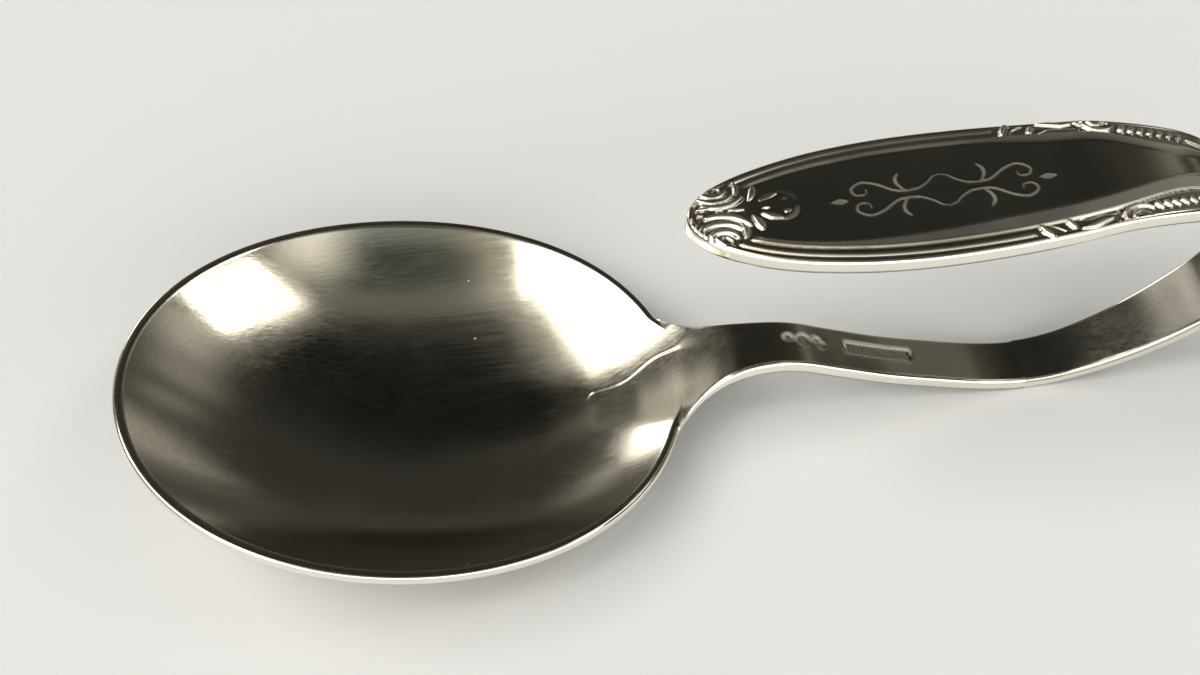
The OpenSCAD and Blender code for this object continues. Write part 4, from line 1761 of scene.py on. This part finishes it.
@dataclass(frozen=True)
class Studio:
    """A pale floor, soft boxes, and a room that is pale at the horizon and dim above.

    Attributes:
        floor_colour, floor_half: the floor's colour, and half its width in metres.
        aim: the point that the lamps are placed about.
        lamps: all lamps.
        glows: the room's soft patches of brightness.
        sky: the room's brightness by height, 0 straight down and 1 straight up.
    """

    floor_colour: Colour = (0.6, 0.595, 0.58)
    floor_half: float = 30.0
    aim: Triple = (0.01, 0, 0.008)
    lamps: tuple[Panel | SoftBox, ...] = (
        Panel("left_panel", (-0.881, -0.016), (1.1, 0.93), 2.8, 17),
        Panel("left_far_panel", (-1.06, 0.415), (0.88, 0.33), 2.8, over=4.05),
        Panel("left_near_panel", (-0.82, -0.45), (1.2, 0.6), 2.8, over=4.1),
        Panel("right_panel", (0.89, -0.04), (0.32, 0.56), 3.4, -43),
        SoftBox("back_left_box", -30.5, 19.5, 15, 12, 4.0, -35),
        SoftBox("back_left_low_box", -29, 6.5, 13, 11, 1.6),
        SoftBox("front_box", 180, 26, 110, 36, 2.3),
    )
    glows: tuple[Glow, ...] = (
        # Soft borders beside the left and the right panel
        Glow((-0.29, 0.05), (0.18, 0.9), 0.12, 0.62, 17),
        Glow((-0.08, -0.35), (0.18, 0.4), 0.14, 0.14),
        Glow((0.88, 0.0), (0.4, 0.6), 0.12, 0.4, -43),
        Glow((1.22, 0.6), (0.36, 0.8), 0.14, 0.33, -10),
        Glow((1.16, 0.4), (0.28, 0.3), 0.13, 0.4),
        # The near right, bands across the near middle, and two small coloured spots
        Glow((0.59, -0.55), (0.28, 0.42), 0.13, 1.4),
        Glow((0.25, -0.18), (0.85, 0.17), 0.05, 0.2),
        Glow((0.24, -0.02), (0.7, 0.1), 0.1, 0.05),
        Glow((0.2, -0.45), (1.0, 0.4), 0.08, 0.07, tint=COOL_WHITE),
        Glow((0.2, -0.74), (1.0, 0.34), 0.1, 0.4, tint=COOL_WHITE),
        Glow((-0.06, -0.56), (0.12, 0.08), 0.05, 0.4, tint=(1.0, 0.5, 0.35)),
        Glow((-0.12, -0.44), (0.06, 0.12), 0.05, 0.3, tint=(1.0, 0.85, 0.45)),
        # The far left, and behind
        Glow((-1.69, 1.56), (1.6, 0.56), 0.25, 0.92, -26),
        Glow((-0.6, 1.06), (0.48, 0.22), 0.14, 0.2, -26),
        Glow((-0.2, 1.1), (0.5, 0.3), 0.15, 0.03),
        Glow((-1.72, 1.17), (0.28, 0.1), 0.08, 1.3, -26),
        Glow((-1.0, 4.2), (0.5, 3.0), 0.35, 0.35),
        Glow((-0.88, 2.95), (0.3, 0.7), 0.2, 0.4),
        # The far right
        Glow((1.45, 1.32), (0.4, 0.14), 0.16, 0.32, 26),
        Glow((1.5, 1.3), (0.4, 0.8), 0.25, 0.1),
        Glow((2.2, 2.9), (1.0, 1.8), 0.35, 0.6),
        Glow((2.6, 4.8), (1.0, 3.0), 0.7, 0.14),
    )
    sky: tuple[Pair, ...] = (
        (0.0, 0.2), (0.5, 0.2), (0.535, 0.1), (0.6, 0.075), (0.6545, 0.055), (0.79, 0.055),
        (0.8536, 0.03), (0.8886, 0.019), (0.9286, 0.013), (1.0, 0.02),
    )

    def build(self) -> None:
        """Makes the floor, the lamps and the world."""
        self.floor()
        for lamp in self.lamps:
            lamp.build(Vector(self.aim))
        self.world()
        bpy.context.scene.view_settings.view_transform = "Standard"

    def floor(self) -> bpy.types.Object:
        """A wide matt square at z = 0, which is stage."""
        half = self.floor_half
        mesh = bpy.data.meshes.new("floor")
        corners = [(-half, -half, 0), (half, -half, 0), (half, half, 0), (-half, half, 0)]
        mesh.from_pydata(corners, [], [(0, 1, 2, 3)])
        floor = placed("floor", mesh)
        made = bpy.data.materials.new("floor_paper")
        made.use_nodes = True
        g = Graph(made.node_tree)
        shader = g.node("ShaderNodeBsdfPrincipled", {},
            {"Base Color": (*self.floor_colour, 1), "Roughness": 0.9, "Specular IOR Level": 0.1})
        g.node("ShaderNodeOutputMaterial", {}, {"Surface": shader})
        mesh.materials.append(made)
        floor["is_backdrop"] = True
        return floor

    def world(self) -> None:
        """The room: a ramp over the height of the direction looked in, and the glows."""
        world = bpy.data.worlds.new("room")
        world.use_nodes = True
        bpy.context.scene.world = world
        g = Graph(world.node_tree)
        way = g.node("ShaderNodeTexCoord", {}, {}, "Generated")
        x, y, z = (g.node("ShaderNodeSeparateXYZ", {}, {"Vector": way}, axis) for axis in "XYZ")
        climb = g.maths("MAXIMUM", z, 0.02)
        stops = [(place, tuple(level * part for part in WARM_WHITE)) for place, level in self.sky]
        tone = g.node("ShaderNodeValToRGB", {"stops": stops}, {"Fac": z * 0.5 + 0.5})
        for glow in self.glows:
            colour = glow.colour(g, x / climb, y / climb)
            tone = g.node("ShaderNodeVectorMath", {"operation": "ADD"}, {0: tone, 1: colour})
        sky = g.node("ShaderNodeBackground", {}, {"Color": tone, "Strength": 1.0})
        g.node("ShaderNodeOutputWorld", {}, {"Surface": sky})


def both_sides(*parts: str) -> tuple[str, ...]:
    """The solids of the parts' near ones, and then of their far ones."""
    return tuple(f"{part}_{side.name.lower()}" for side in Side for part in parts)


def rest_pieces() -> list[Part]:
    """The sub-assemblies, from the bowl round to the plate.

    Returns:
        The pieces, not yet built.
    """
    bowl = BowlSizes()
    strap = Strap(StrapSizes(), bowl)
    join = Join(bowl)
    ornament = Ornament(strap)
    silver = Slot.SILVER
    loop_start = strap.crown_run + 10
    oval = strap.sizes.tip_run * (1 - np.cos(np.linspace(0.006, math.pi / 2, 220)))
    flank = np.linspace(strap.sizes.tip_run, strap.crown_run, 132)[1:]
    carried = np.linspace(strap.crown_run, loop_start, 110)
    round_back = np.linspace(loop_start, strap.dip_run, 150)[1:]
    stem = np.linspace(strap.dip_run, strap.hump_run, 230)
    flare = np.linspace(strap.hump_run, strap.heel_run, 90)
    border = both_sides("tip_volute", "outer_thread", "inner_thread")
    shoulders = both_sides("shoulder_scroll", "shoulder_beads")
    return [
        Bowl("bowl_shell", ("bowl", "bowl_tongue"), Slot.POLISHED, bowl, join),
        Neck("neck_flare", ("neck",), silver, strap, flare, 60, face=-1, join=join),
        Shank("shank_stem", ("shank",), silver, strap, stem, 40, face=-1),
        HandlePlate("loop_strap", ("finger_loop", *shoulders), silver, strap,
            np.concatenate([carried, round_back]), 62, under_wear=0.68, ornament=ornament),
        HandlePlate("name_plate", ("handle_plate", "tip_palmette", *border), silver, strap,
            np.concatenate([oval, flank]), 85, ornament=ornament),
    ]


def write_sizes() -> None:
    """Logs the solids' box and the dressed spoon's box, in metres."""
    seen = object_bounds()
    boxes = {"cad": [list(v) for v in CAD_BOX], "visual": [list(v) for v in seen]}
    log.info("box of the solids %s, of the dressed spoon %s", boxes["cad"], boxes["visual"])


def main() -> None:
    """Builds the camera, the studio and the spoon, piece by piece."""
    logging.basicConfig(level=logging.INFO)
    PhotoCamera().build()
    Studio().build()
    bowl_silver = Silver("bowl_silver", roughness=0.14)
    strap_silver = Silver("strap_silver", plain=(0.43, 0.395, 0.305), roughness=0.16,
        film=(0.013, 0.03))
    for part in rest_pieces():
        part.build(bowl_silver if isinstance(part, Bowl) else strap_silver)
    write_sizes()


if __name__ == "__main__":
    main()
